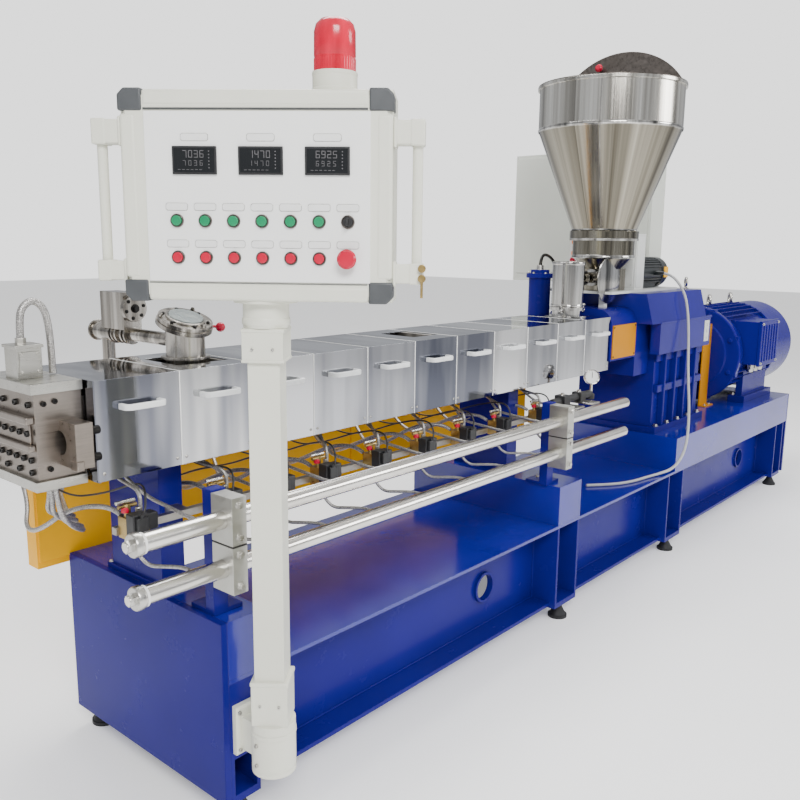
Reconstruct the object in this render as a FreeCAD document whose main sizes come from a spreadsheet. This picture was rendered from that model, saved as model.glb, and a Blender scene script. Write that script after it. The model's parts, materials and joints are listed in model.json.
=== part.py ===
"""Twin-screw plastic extruder: base, barrel row, drive, feeder with hopper, and swivelling control panel.

Millimetres, +Z up, +X from the die end to the motor, +Y from the operator side to the rear.
The origin is on the floor, at the sole of the front levelling foot at the die end.
In the expressions below, x counts from the base's die-end plate and y from the base's front edge,
and place() moves each piece from there to the origin.
"""
import FreeCAD, Part
import math
import os
import re
import Sketcher

doc = FreeCAD.newDocument("TwinScrewExtruder")
sheet = doc.addObject("Spreadsheet::Sheet", "Sizes")

SIZES = [
    # welded base
    ("base_length", 4619, "die-end plate to motor-end plate"),
    ("base_width", 762, "front edge to rear edge"),
    ("underside", 74, "floor to the underside of the girders"),
    ("end_plate", 20, "thickness of the two end plates"),
    ("web", 14, "girder web thickness"),
    ("web_setback", 115, "front edge to the web's outer face"),
    ("flange", 14, "girder bottom flange thickness"),
    ("flange_setback", 26, "front edge to the flange's outer edge"),
    ("flange_width", 190, "width of the bottom flange"),
    ("deck_top", 425, "floor to the top of the low deck"),
    ("deck_plate", 12, "deck plate thickness"),
    ("block_top", 587, "floor to the top of the two cross blocks"),
    ("end_block", 125, "length of the cross block at the die end"),
    ("cheek_bottom", 195, "floor to the closed upper part of the front pocket at the die end"),
    ("mid_shift", 54, "middle cross block's start to the barrel joint over it"),
    ("mid_block", 174, "length of the middle cross block"),
    ("bed_start", 2819, "start of the raised drive bed"),
    ("bed_top", 594, "floor to the top of the raised bed"),
    ("rib", 12, "thickness of the plates round a foot pocket"),
    ("foot_plate", 22, "thickness of the plate a foot screws into"),
    ("foot_drop", 8, "how far a foot plate stands below the girder"),
    ("pocket_end", 98, "length of the foot pocket at the die end"),
    ("pocket_mid", 171, "length of the middle foot pocket"),
    ("pocket_bed", 184, "length of the foot pocket under the bed's start"),
    ("pocket_bed_start", 2750, "start of that pocket"),
    ("pocket_motor", 150, "length of the foot pocket near the motor end"),
    ("pocket_motor_start", 4405, "start of that pocket"),
    ("ring_hole", 50, "radius of a lifting hole in the web"),
    ("ring_rim", 60, "outer radius of the rim round a lifting hole"),
    ("ring_reach", 12, "how far that rim stands out of the web"),
    ("ring_first", 1320, "first lifting hole along the base"),
    ("ring_second", 4060, "second lifting hole along the base"),
    ("ring_height", 245, "height of the lifting holes"),
    # levelling feet
    ("foot_inset", 35, "foot centre to the base's long edge"),
    ("pad_radius", 40, "radius of a foot's rubber pad"),
    ("pad_height", 12, "straight part of the pad"),
    ("pad_neck", 16, "radius at the top of the pad's cone"),
    ("pad_cone", 36, "height of the pad's cone"),
    ("foot_stud", 9, "radius of the foot's screw"),
    # screw axis, barrels and covers
    ("axis_height", 1085, "floor to the screw axis"),
    ("axis_depth", 381, "front edge to the screw axis"),
    ("row_start", -190, "die end of the first barrel"),
    ("barrel_pitch", 240, "length of one barrel"),
    ("barrel_half_width", 100, "half the width of a barrel"),
    ("barrel_half_height", 95, "half the height of a barrel"),
    ("joint_half_width", 150, "half the width of a barrel's end flange"),
    ("joint_length", 25, "thickness of one end flange"),
    ("joint_drop", 125, "screw axis to the underside of the flanges"),
    ("cover_half_width", 168, "half the width of a cover"),
    ("cover_top", 1212, "floor to the top of the covers"),
    ("cover_bottom", 960, "floor to the lower edge of the covers"),
    ("cover_sheet", 3, "cover sheet thickness"),
    ("cover_gap", 2, "gap between two covers"),
    ("cover_hole", 170, "side of the square hole round a pot or stack"),
    ("vent_hole_length", 140, "open vent hole along the machine"),
    ("vent_hole_width", 165, "open vent hole across the machine"),
    ("vent_hole_edge", 5, "open vent hole to the end of its barrel"),
    ("handle_length", 120, "outer length of a cover handle"),
    ("handle_reach", 40, "how far a handle stands out"),
    ("handle_bar", 12, "thickness of a handle's bar"),
    ("handle_height", 16, "height of a handle's section"),
    ("handle_top", 1150, "floor to the top of the handles"),
    # barrel supports
    ("column_shift", 20, "first column's start to the barrel joint over it"),
    ("column_length", 74, "column section along the base"),
    ("column_front", 300, "front edge to the column's front"),
    ("column_depth", 255, "column section across the base"),
    ("column_second", 5, "barrel joint to the second column's start"),
    ("column_foot", 15, "thickness of a column's foot plate"),
    ("column_foot_edge", 18, "how far the foot plate stands out all round"),
    # wiring trough behind the barrels
    ("trough_start", -100, "die end of the trough"),
    ("trough_end", 2600, "motor end of the trough"),
    ("trough_depth", 60, "thickness of the trough"),
    ("trough_bottom", 560, "floor to the trough's underside"),
    ("trough_top", 900, "floor to the trough's top"),
    # die head
    ("adapter_length", 10, "neck between the first barrel and the die block"),
    ("adapter_half_width", 112, "half the width of that neck"),
    ("adapter_clearance", 4, "gap round the neck in the first cover's end"),
    ("die_length", 118, "die block along the machine"),
    ("die_half_width", 121, "half the width of the die block"),
    ("die_half_height", 105, "half the height of the die block"),
    ("die_plate", 24, "thickness of the plates over and under the die"),
    ("die_plate_edge", 10, "how far those plates stand out in front"),
    ("die_lug_thick", 45, "thickness of the side lug"),
    ("die_lug_reach", 75, "how far the side lug stands out"),
    ("die_lug_height", 110, "height of the side lug"),
    ("die_lug_notch", 30, "radius of the half-round notch in the lug"),
    ("junction_size", 62, "side of the junction box on the die"),
    ("junction_height", 80, "height of that junction box"),
    # degassing pot with slanted sight-glass lid, and its pipework
    ("pot_shift", 20, "middle of the second barrel to the centre of its pot"),
    ("pot_radius", 55, "radius of the pot"),
    ("pot_lid_height", 1318, "floor to the lid's centre"),
    ("pot_lid_radius", 80, "radius of the pot's flange and lid"),
    ("pot_flange", 12, "thickness of the pot's flange"),
    ("pot_tilt", 20, "slant of the lid, degrees"),
    ("lid_thick", 12, "thickness of the lid ring"),
    ("glass_radius", 48, "radius of the sight glass"),
    ("glass_height", 8, "height of the sight glass above the lid"),
    ("suction_radius", 20, "radius of the suction pipe"),
    ("suction_height", 1262, "floor to the suction pipe"),
    ("suction_overhang", 36, "trough's rear to the end of the suction pipe"),
    ("tee_radius", 27, "radius of the tee at the pipe's rear"),
    ("tee_length", 150, "length of the tee"),
    # feed stack over the last barrel
    ("stack_radius", 74, "radius of the feed stack"),
    ("stack_top", 1466, "floor to the stack's top"),
    ("stack_seam", 1250, "floor to the stack's clamp"),
    ("stack_clamp", 7, "half the height of the clamp ring"),
    # gearbox
    ("lantern_half_width", 176, "half its width"),
    ("lantern_bottom", 1000, "floor to its underside"),
    ("lantern_top", 1245, "floor to the top of its arch"),
    ("lantern_round", 75, "radius of the arch's shoulders"),
    ("gearbox_start", 2870, "die-side face of the gearbox"),
    ("gearbox_end", 3460, "motor-side face of the gearbox"),
    ("gearbox_half_width", 211, "half the width of the gearbox"),
    ("gearbox_foot", 30, "thickness of the gearbox's foot"),
    ("gearbox_foot_edge", 35, "how far the foot stands out"),
    ("neck_bottom", 900, "underside of the gearbox's neck"),
    ("hood_start", 2711, "die-side end of the hood"),
    ("hood_end", 3390, "motor-side end of the hood"),
    ("hood_half_bottom", 261, "half the hood's width at its lower edge"),
    ("hood_half_top", 221, "half the hood's width at its top"),
    ("hood_bottom", 1165, "floor to the hood's lower edge"),
    ("hood_top", 1312, "floor to the hood's top"),
    ("apron_start", 2808, "die-side end of the hood's side aprons"),
    ("apron_bottom", 1007, "floor to the aprons' lower edge"),
    ("badge_length", 256, "blank plate on the lantern"),
    ("badge_height", 160, "height of the blank plate"),
    ("badge_thick", 5, "thickness of the blank plate"),
    ("badge_bottom", 1010, "floor to the blank plate"),
    ("filter_x", 2500, "oil filter along the machine"),
    ("filter_radius", 55, "radius of the oil filter"),
    ("filter_bottom", 1050, "floor to the filter's underside"),
    ("filter_top", 1392, "floor to the filter's head"),
    ("filter_standoff", 28, "lantern to the filter's body"),
    ("filter_head_edge", 13, "how far the filter's head stands out"),
    # motor and coupling
    ("motor_height", 895, "floor to the motor shaft"),
    ("motor_start", 3880, "drive end of the motor"),
    ("shield_length", 50, "length of the drive-end shield"),
    ("shield_radius", 285, "radius of the drive-end shield"),
    ("motor_radius", 262, "radius of the motor body"),
    ("motor_end", 4580, "fan end of the motor body"),
    ("cowl_radius", 278, "radius of the fan cowl"),
    ("cowl_end", 4910, "rear of the fan cowl"),
    ("motor_foot_start", 4060, "start of the motor feet"),
    ("motor_foot_end", 4560, "end of the motor feet"),
    ("motor_foot_width", 100, "width of a motor foot"),
    ("motor_foot_thick", 40, "thickness of a motor foot"),
    ("motor_track", 457, "distance between the motor feet's centres"),
    ("terminal_start", 4040, "start of the terminal box"),
    ("terminal_length", 300, "terminal box along the machine"),
    ("terminal_front", 30, "front edge to the terminal box"),
    ("terminal_bottom", 836, "floor to the terminal box"),
    ("terminal_height", 262, "height of the terminal box"),
    ("coupling_radius", 100, "radius of the drive coupling"),
    ("guard_start", 3750, "start of the coupling guard"),
    ("guard_length", 120, "length of the coupling guard"),
    ("guard_half_width", 119, "half the guard's outer width"),
    ("guard_sheet", 6, "guard sheet thickness"),
    ("guard_top", 1085, "floor to the guard's top"),
    ("guard_foot", 40, "length of the guard's feet"),
    # feeder on its plate
    ("plate_start", 2520, "die-side end of the feeder plate"),
    ("plate_end", 3280, "motor-side end of the feeder plate"),
    ("plate_front", 250, "front edge to the feeder plate"),
    ("plate_back", 680, "front edge to the feeder plate's rear"),
    ("feeder_plate", 12, "thickness of the feeder plate"),
    ("plate_notch", 12, "clearance round the oil filter in the feeder plate's corner"),
    ("leg", 30, "side of a leg under the plate"),
    ("leg_x", 2545, "legs along the machine"),
    ("leg_half_track", 66, "half the distance between the legs"),
    ("feeder_x", 2660, "hopper axis along the machine"),
    ("trough_box", 85, "half the side of the feeder's screw box"),
    ("screw_box_top", 1430, "floor to the top of the screw box"),
    ("bowl_radius", 150, "radius of the feeder bowl"),
    ("bowl_neck", 100, "radius at the bowl's foot"),
    ("bowl_shoulder", 1490, "floor to the start of the bowl's straight side"),
    ("bowl_top", 1578, "floor to the bowl's top"),
    ("spout_radius", 27, "radius of the discharge tube"),
    ("spout_height", 1388, "floor to the discharge tube"),
    ("drive_box_start", 2830, "start of the feeder's gear housing"),
    ("drive_box_length", 100, "its length along the machine"),
    ("drive_box_front", 285, "front edge to the gear housing"),
    ("drive_box_back", 655, "front edge to the gear housing's rear"),
    ("drive_box_top", 1602, "floor to the gear housing's top"),
    ("feeder_motor_radius", 75, "radius of the feeder motor"),
    ("feeder_motor_end", 3270, "rear of the feeder motor"),
    ("gland_x", 3110, "cable gland along the feeder motor"),
    ("gland_radius", 12, "radius of the cable gland"),
    ("gland_length", 26, "length of the cable gland"),
    ("switch_depth", 28, "thickness of the feeder's switch box"),
    ("switch_width", 62, "width of the switch box"),
    ("switch_bottom", 1440, "floor to the switch box"),
    ("switch_height", 150, "height of the switch box"),
    # hopper
    ("hopper_wall", 4, "hopper wall thickness"),
    ("hopper_flange", 34, "height of the hopper's bottom flange"),
    ("hopper_flange_radius", 167, "radius of the bottom flange"),
    ("throat_radius", 154, "outer radius at the cone's bottom"),
    ("hopper_radius", 340, "outer radius of the hopper"),
    ("cone_top", 2088, "floor to the top of the cone"),
    ("hopper_top", 2290, "floor to the hopper's rim"),
    ("rim_bead", 9, "how far the rim's bead stands out"),
    ("lid_sheet", 4, "lid thickness"),
    ("lid_gap", 8, "gap between the fixed lid and the hinged flap"),
    ("lid_offset", 160, "hopper axis to the flap's hinge line"),
    ("lid_knuckle", 7, "radius of the flap's hinge knuckles"),
    ("lid_leaf", 3, "thickness of the hinge leaves"),
    ("lid_open", 82, "angle the flap stands open, degrees"),
    ("lid_turn", 10, "direction of the flap from +X, degrees"),
    ("lid_seat", 0.3, "running gap at a seat that turns or lifts"),
    # electrical cabinet behind the feeder
    ("cabinet_start", 3290, "die-side face of the cabinet"),
    ("cabinet_depth", 160, "cabinet along the machine"),
    ("cabinet_front", 430, "front edge to the cabinet"),
    ("cabinet_width", 890, "cabinet across the machine"),
    ("cabinet_bottom", 1352, "floor to the cabinet"),
    ("cabinet_top", 2072, "floor to the cabinet's top"),
    ("cabinet_beam", 80, "width of the beams under the cabinet"),
    # cooling-water manifolds, clamps, valves
    ("pipe_radius", 24, "radius of the manifold pipes"),
    ("pipe_depth", 12, "front edge to the pipes' axis"),
    ("pipe_low", 730, "floor to the lower pipe"),
    ("pipe_high", 859, "floor to the upper pipe"),
    ("pipe_start", -230, "plugged end of the pipes"),
    ("pipe_end", 2250, "capped end of the pipes"),
    ("plug_radius", 29, "radius of the collar on a plugged end"),
    ("plug_length", 16, "length of that collar"),
    ("clamp_length", 45, "clamp block along the machine"),
    ("clamp_half_width", 42, "half the clamp block's width"),
    ("clamp_height", 124, "height of one clamp block"),
    ("clamp_first", 21, "first clamp along the machine"),
    ("clamp_second", 1660, "second clamp along the machine"),
    ("clamp_foot", 12, "thickness of a clamp bracket's foot"),
    ("clamp_back", 36, "thickness of a clamp bracket's upright"),
    ("clamp_foot_length", 92, "foot of the bracket along the machine"),
    ("clamp_foot_depth", 64, "foot of the bracket behind the upright"),
    ("rail_depth", 235, "front edge to the valve rail"),
    ("rail_side", 20, "side of the valve rail"),
    ("rail_height", 805, "floor to the valve rail's underside"),
    ("rail_start", -140, "die end of the valve rail"),
    ("rail_end", 1900, "motor end of the valve rail"),
    ("valve_length", 64, "valve body along the machine"),
    ("valve_depth", 44, "valve body across the machine"),
    ("valve_height", 56, "height of a valve body"),
    ("valve_sink", 4, "how far a valve body hangs below the rail"),
    ("needle_radius", 9, "radius of a needle valve's stem"),
    ("needle_height", 34, "height of a needle valve above the body"),
    ("tee_handle", 52, "length of a needle valve's handle"),
    ("hose_radius", 5, "radius of a cooling hose"),
    # control panel on its post
    ("post_x", 74, "post axis along the machine"),
    ("post_y", -110, "post axis in front of the base"),
    ("post_side", 76, "side of the square post"),
    ("panel_turn", -52.5, "direction that the panel faces, degrees"),
    ("hinge_radius", 57, "radius of the post's wall joint"),
    ("hinge_bottom", 205, "floor to the wall joint"),
    ("hinge_split", 321, "floor to the joint's turning seam"),
    ("hinge_cap", 24, "height of the turning half of the joint"),
    ("hinge_plate_width", 92, "width of the joint's wall plate"),
    ("hinge_plate_thick", 14, "thickness of the wall plate"),
    ("hinge_plate_bottom", 215, "floor to the wall plate"),
    ("hinge_plate_height", 137, "height of the wall plate"),
    ("hinge_arm_half", 30, "half the width of the joint's arm"),
    ("sleeve_side", 92, "side of the post's lower sleeve"),
    ("sleeve_top", 461, "floor to the top of the lower sleeve"),
    ("collar_side", 97, "side of the post's upper sleeve"),
    ("collar_bottom", 1270, "floor to the upper sleeve"),
    ("collar_split", 1348, "floor to the panel's turning seam"),
    ("coupling_half", 54, "radius of the panel's turning collar"),
    ("panel_bottom", 1413, "floor to the control panel"),
    ("panel_height", 455, "height of the control panel"),
    ("panel_width", 600, "width of the control panel"),
    ("panel_depth", 160, "depth of the control panel"),
    ("panel_bevel", 14, "bevel along the panel's front edges"),
    ("grip_reach", 66, "how far a handle bracket stands out"),
    ("grip_depth", 42, "handle bracket across the panel"),
    ("grip_setback", 12, "panel front to the bracket"),
    ("grip_high", 1756, "floor to the upper bracket"),
    ("grip_high_size", 50, "height of the upper bracket"),
    ("grip_low", 1457, "floor to the lower bracket"),
    ("grip_low_size", 41, "height of the lower bracket"),
    ("grip_bar", 11, "radius of a handle's bar"),
    ("grip_bar_reach", 53, "panel side to the bar's axis"),
    ("beacon_x", 164, "beacon from the middle of the panel"),
    ("beacon_radius", 47, "radius of the beacon's lens"),
    ("beacon_base", 50, "radius of the beacon's base"),
    ("beacon_base_height", 47, "height of the beacon's base"),
    ("beacon_height", 114, "height of the beacon's lens"),
    ("cable_radius", 7, "radius of the feeder's cable"),
]

BARRELS = 11
OPEN_VENT_BARREL = 5     # counted from 0 at the die end
ROW_END = f"(row_start + {BARRELS}*barrel_pitch)"
STACK_X = f"({ROW_END} - barrel_pitch/2)"
POT_X = "(row_start + 1.5*barrel_pitch + pot_shift)"
MID_START = "(row_start + 8*barrel_pitch - mid_shift)"
COLUMNS = ["(row_start + barrel_pitch - column_shift)", "(row_start + 8*barrel_pitch + column_second)"]
VALVE_PLACES = [0.37, 1.51, 2.33, 3.14, 4.14, 5.15, 6.15, 7.15, 8.38]     # in barrels from the row's start
NAMES = re.compile(r"\b(" + "|".join(sorted((row[0] for row in SIZES), key=len, reverse=True)) + r")\b")
ACROSS_X = FreeCAD.Rotation(FreeCAD.Vector(0, 1, 0), 90)
ACROSS_Y = FreeCAD.Rotation(FreeCAD.Vector(1, 0, 0), -90)
UPRIGHT = FreeCAD.Rotation()
FOOT_X = "(end_plate + pocket_end/2)"
nodes = []


def fill_sheet():
    """One row of the sheet per size: its name, its value under that name, and what it is."""
    for row, (alias, value, meaning) in enumerate(SIZES, start=1):
        sheet.set(f"A{row}", alias)
        sheet.set(f"B{row}", str(value))
        sheet.setAlias(f"B{row}", alias)
        sheet.set(f"C{row}", meaning)
    doc.recompute()


def size(name):
    """A size from the sheet, for the pieces that Part builds directly."""
    return float(sheet.get(name))


def bind(piece, prop, text):
    """Bind a property to an expression in size names."""
    piece.setExpression(prop, NAMES.sub(r"Sizes.\1", str(text)))


def place(piece, x, y, z, local=False):
    """Bind a piece's position: in the part's frame, or in the panel's own frame if local."""
    bind(piece, "Placement.Base.x", x if local else f"({x}) - {FOOT_X}")
    bind(piece, "Placement.Base.y", y if local else f"({y}) - foot_inset")
    bind(piece, "Placement.Base.z", z)


def block(xs, ys, zs, local=False):
    """A box between two limits along each axis."""
    piece = doc.addObject("Part::Box", "Block")
    bind(piece, "Length", f"({xs[1]}) - ({xs[0]})")
    bind(piece, "Width", f"({ys[1]}) - ({ys[0]})")
    bind(piece, "Height", f"({zs[1]}) - ({zs[0]})")
    place(piece, xs[0], ys[0], zs[0], local)
    return piece


def rod(radius, length, x, y, z, turn=UPRIGHT, local=False):
    """A cylinder that starts at a point and runs up, along +X or along +Y."""
    piece = doc.addObject("Part::Cylinder", "Rod")
    piece.Placement.Rotation = turn
    bind(piece, "Radius", radius)
    bind(piece, "Height", length)
    place(piece, x, y, z, local)
    return piece


def cone(lower, upper, height, x, y, z, local=False):
    piece = doc.addObject("Part::Cone", "Cone")
    bind(piece, "Radius1", lower)
    bind(piece, "Radius2", upper)
    bind(piece, "Height", height)
    place(piece, x, y, z, local)
    return piece


def fuse(pieces):
    joined = doc.addObject("Part::MultiFuse", "Fuse")
    joined.Shapes = pieces
    return joined


def cut(base, tools):
    piece = doc.addObject("Part::Cut", "Cut")
    piece.Base = base
    piece.Tool = tools[0] if len(tools) == 1 else fuse(tools)
    return piece


def group(pieces):
    """Solids that don't touch, kept as one sub-part."""
    piece = doc.addObject("Part::Compound", "Group")
    piece.Links = pieces
    return piece


def keep(name, piece):
    """Name a finished sub-part; its Label is its node's name."""
    piece.Label = name
    nodes.append(piece)
    return piece


def turned(piece):
    """Move a sub-part from the panel's own frame to its post, facing the way the panel faces."""
    piece.Placement.Rotation = FreeCAD.Rotation(FreeCAD.Vector(0, 0, 1), 1)
    bind(piece, "Placement.Rotation.Angle", "panel_turn")
    bind(piece, "Placement.Base.x", f"post_x - {FOOT_X}")
    bind(piece, "Placement.Base.y", "post_y - foot_inset")
    return piece


def origin_plane(body, role):
    return next(item for item in body.Origin.OriginFeatures if item.Role == role)


def sketch_outline(body, role, corners):
    """A closed outline of straight lines whose corners are bound to expressions, both positive."""
    sketch = body.newObject("Sketcher::SketchObject", "Outline")
    sketch.AttachmentSupport = [(origin_plane(body, role), "")]
    sketch.MapMode = "FlatFace"
    count = len(corners)
    guess = [FreeCAD.Vector(10 * math.cos(2 * math.pi * i / count) + 20,
                            10 * math.sin(2 * math.pi * i / count) + 20, 0) for i in range(count)]
    for i in range(count):
        sketch.addGeometry(Part.LineSegment(guess[i], guess[(i + 1) % count]), False)
    for i in range(count):
        sketch.addConstraint(Sketcher.Constraint("Coincident", i, 2, (i + 1) % count, 1))
    for i, corner in enumerate(corners):
        for kind, value, text in (("DistanceX", guess[i].x, corner[0]), ("DistanceY", guess[i].y, corner[1])):
            index = sketch.addConstraint(Sketcher.Constraint(kind, -1, 1, i, 1, value))
            bind(sketch, f"Constraints[{index}]", text)
    return sketch


def extruded(role, corners, length):
    """A PartDesign pad of an outline."""
    body = doc.addObject("PartDesign::Body", "Body")
    pad = body.newObject("PartDesign::Pad", "Pad")
    pad.Profile = sketch_outline(body, role, corners)
    bind(pad, "Length", length)
    return body


def turned_profile(corners):
    """A PartDesign revolution about Z of an outline given as (radius, height)."""
    body = doc.addObject("PartDesign::Body", "Body")
    turning = body.newObject("PartDesign::Revolution", "Revolution")
    sketch = sketch_outline(body, "XZ_Plane", corners)
    turning.Profile = sketch
    turning.ReferenceAxis = (sketch, ["V_Axis"])
    turning.Angle = 360
    return body


def tube(route, radius, label):
    """A round tube along straight runs joined by tangent arcs, each as large as its two runs allow."""
    points = [FreeCAD.Vector(*point) for point in route]
    edges = []
    start = points[0]
    radii = []
    for before, corner, after in zip(points, points[1:], points[2:]):
        back = (before - corner)
        ahead = (after - corner)
        half_turn = (math.pi - back.getAngle(ahead)) / 2
        reach = ROUND_SHARE * min(back.Length, ahead.Length)
        radii.append(reach / math.tan(half_turn))
        back.normalize()
        ahead.normalize()
        enter = corner + back * reach
        leave = corner + ahead * reach
        middle = (back + ahead)
        middle.normalize()
        centre = corner + middle * (radii[-1] / math.cos(half_turn))
        edges.append(Part.LineSegment(start, enter).toShape())
        edges.append(Part.Arc(enter, centre - middle * radii[-1], leave).toShape())
        start = leave
    edges.append(Part.LineSegment(start, points[-1]).toShape())
    path = Part.Wire(edges)
    section = Part.Wire(Part.Circle(points[0], points[1] - points[0], radius).toShape())
    solid = path.makePipeShell([section], True, False)
    expected = math.pi * radius ** 2 * path.Length
    if radii:
        print(f"{label}: length {path.Length:.0f}, least radius {min(radii):.0f}, "
              f"volume {solid.Volume / expected:.4f} of section times length")
    return solid


def direct(shapes):
    """A piece whose shape Part builds from sizes read from the sheet."""
    piece = doc.addObject("Part::Feature", "Tubes")
    piece.Shape = shapes[0] if len(shapes) == 1 else Part.makeCompound(shapes)
    return piece


ROUND_SHARE = 0.45       # of the shorter run, used by each arc of a tube


def levelling_feet():
    feet = []
    for x in FOOT_PLACES:
        for y in ("foot_inset", "base_width - foot_inset"):
            feet.append(fuse([
                rod("pad_radius", "pad_height", x, y, "0"),
                cone("pad_radius - 4", "pad_neck", "pad_cone", x, y, "pad_height"),
                rod("foot_stud", "underside - foot_drop - pad_height", x, y, "pad_height")]))
    keep("levelling_feet", group(feet))


POCKETS = [
    ("end_plate", "pocket_end"),
    (MID_START, "pocket_mid"),
    ("pocket_bed_start", "pocket_bed"),
    ("pocket_motor_start", "pocket_motor"),
]
FOOT_PLACES = [f"{start} + {length}/2" for start, length in POCKETS]


def girder():
    """Front girder: web, bottom flange, ribs round each foot pocket, and two rimmed lifting holes."""
    inner = ("end_plate", "base_length - end_plate")
    top = "deck_top - deck_plate"
    above = "underside + flange"
    web = ("web_setback", "web_setback + web")
    pieces = [
        block(inner, web, (above, top)),
        block(inner, ("flange_setback", "flange_setback + flange_width"), ("underside", above))]
    for start, length in POCKETS:
        end = f"{start} + {length}"
        pieces.append(block((start, end), ("0", "web_setback"),
                            ("underside - foot_drop", "underside - foot_drop + foot_plate")))
        for rib_start in (start, f"{end} - rib"):
            pieces.append(block((rib_start, f"{rib_start} + rib"), ("0", "web_setback + 1"),
                                ("underside - foot_drop + foot_plate", top)))
    holes = []
    for x in ("ring_first", "ring_second"):
        pieces.append(rod("ring_rim", "ring_reach + web/2", x, "web_setback - ring_reach", "ring_height",
                          ACROSS_Y))
        holes.append(rod("ring_hole", "web + ring_reach + 20", x, "web_setback - ring_reach - 10",
                         "ring_height", ACROSS_Y))
    return cut(fuse(pieces), holes)


def base():
    plain = girder()
    cheek = block(("end_plate", "end_plate + end_block"), ("0", "web_setback + 1"),
                  ("cheek_bottom", "deck_top - deck_plate"))
    front = fuse([plain, cheek])
    rear = doc.addObject("Part::Mirroring", "RearGirder")
    rear.Source = plain
    rear.Normal = FreeCAD.Vector(0, 1, 0)
    bind(rear, "Base.y", "base_width/2 - foot_inset")
    keep("base_girders", group([front, rear]))
    across = ("0", "base_width")
    keep("base_end_plates", group([
        block(("0", "end_plate"), across, ("underside", "block_top")),
        block(("base_length - end_plate", "base_length"), across, ("underside", "bed_top"))]))
    keep("base_deck", block(("end_plate", "bed_start"), across, ("deck_top - deck_plate", "deck_top")))
    keep("deck_blocks", group([
        block(("end_plate", "end_plate + end_block"), across, ("deck_top", "block_top")),
        block((MID_START, f"{MID_START} + mid_block"), across, ("deck_top", "block_top"))]))
    keep("raised_bed", block(("bed_start", "base_length - end_plate"), across,
                             ("deck_top - deck_plate", "bed_top")))


def supports_and_trough():
    columns = []
    for start in COLUMNS:
        end = f"{start} + column_length"
        back = "column_front + column_depth"
        columns.append(fuse([
            block((start, end), ("column_front", back), ("block_top", "cover_bottom")),
            block((f"{start} - 8", f"{end} + column_foot_edge"),
                  ("column_front - column_foot_edge", f"{back} + column_foot_edge"),
                  ("block_top", "block_top + column_foot"))]))
    keep("barrel_supports", group(columns))
    keep("wiring_trough", block(("trough_start", "trough_end"), ("base_width", "base_width + trough_depth"),
                                ("trough_bottom", "trough_top")))


def barrels():
    """The barrel row: square bodies bolted together at thicker end flanges."""
    pieces = [block(("row_start", ROW_END),
                    ("axis_depth - barrel_half_width", "axis_depth + barrel_half_width"),
                    ("axis_height - barrel_half_height", "axis_height + barrel_half_height"))]
    for i in range(BARRELS + 1):
        joint = f"row_start + {i}*barrel_pitch"
        start = joint if i == 0 else f"{joint} - joint_length"
        end = joint if i == BARRELS else f"{joint} + joint_length"
        pieces.append(block((start, end),
                            ("axis_depth - joint_half_width", "axis_depth + joint_half_width"),
                            ("axis_height - joint_drop", "cover_top - cover_sheet")))
    keep("barrel_row", fuse(pieces))


def cover(i):
    """One lift-off cover: an inverted U of sheet, closed at the die end of the row."""
    start = f"row_start + {i}*barrel_pitch + cover_gap/2"
    if i == 0:
        start = "row_start - cover_gap/2 - cover_sheet"
    end = f"row_start + {i + 1}*barrel_pitch - cover_gap/2"
    front = "axis_depth - cover_half_width"
    back = "axis_depth + cover_half_width"
    inner_start = f"{start} + cover_sheet" if i == 0 else f"{start} - 10"
    shell = block((start, end), (front, back), ("cover_bottom", "cover_top"))
    hollow = block((inner_start, f"{end} + 10"), (f"{front} + cover_sheet", f"{back} - cover_sheet"),
                   ("cover_bottom - 10", "cover_top - cover_sheet"))
    return shell, hollow


def square_hole(x):
    half = "cover_hole/2"
    return block((f"{x} - {half}", f"{x} + {half}"), (f"axis_depth - {half}", f"axis_depth + {half}"),
                 ("cover_top - 20", "cover_top + 20"))


def covers():
    plain = []
    for i in range(BARRELS):
        shell, hollow = cover(i)
        tools = [hollow]
        if i == 0:
            half = "(adapter_half_width + adapter_clearance)"
            tools.append(block(("row_start - 20", "row_start + 1"),
                               (f"axis_depth - {half}", f"axis_depth + {half}"),
                               ("cover_bottom - 10", "axis_height + die_half_height")))
        if i == 1:
            tools.append(square_hole(POT_X))
        if i == BARRELS - 1:
            tools.append(square_hole(STACK_X))
        if i == OPEN_VENT_BARREL:
            hole_end = f"row_start + {i + 1}*barrel_pitch - vent_hole_edge"
            tools.append(block((f"{hole_end} - vent_hole_length", hole_end),
                               ("axis_depth - vent_hole_width/2", "axis_depth + vent_hole_width/2"),
                               ("cover_top - 20", "cover_top + 20")))
            keep("open_vent_cover", cut(shell, tools))
        else:
            plain.append(cut(shell, tools))
    keep("barrel_covers", group(plain))


def cover_handles():
    """Bow handles: a bar in front of each cover, on two short arms."""
    bars = []
    arms = []
    front = "axis_depth - cover_half_width"
    heights = ("handle_top - handle_height", "handle_top")
    for i in range(BARRELS):
        middle = f"row_start + {i}*barrel_pitch + barrel_pitch/2"
        left = f"{middle} - handle_length/2"
        right = f"{middle} + handle_length/2"
        bars.append(block((left, right), (f"{front} - handle_reach", f"{front} - handle_reach + handle_bar"),
                          heights))
        for start in (left, f"{right} - handle_bar"):
            arms.append(block((start, f"{start} + handle_bar"),
                              (f"{front} - handle_reach + handle_bar", front), heights))
    keep("handle_bars", group(bars))
    keep("handle_arms", group(arms))


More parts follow.
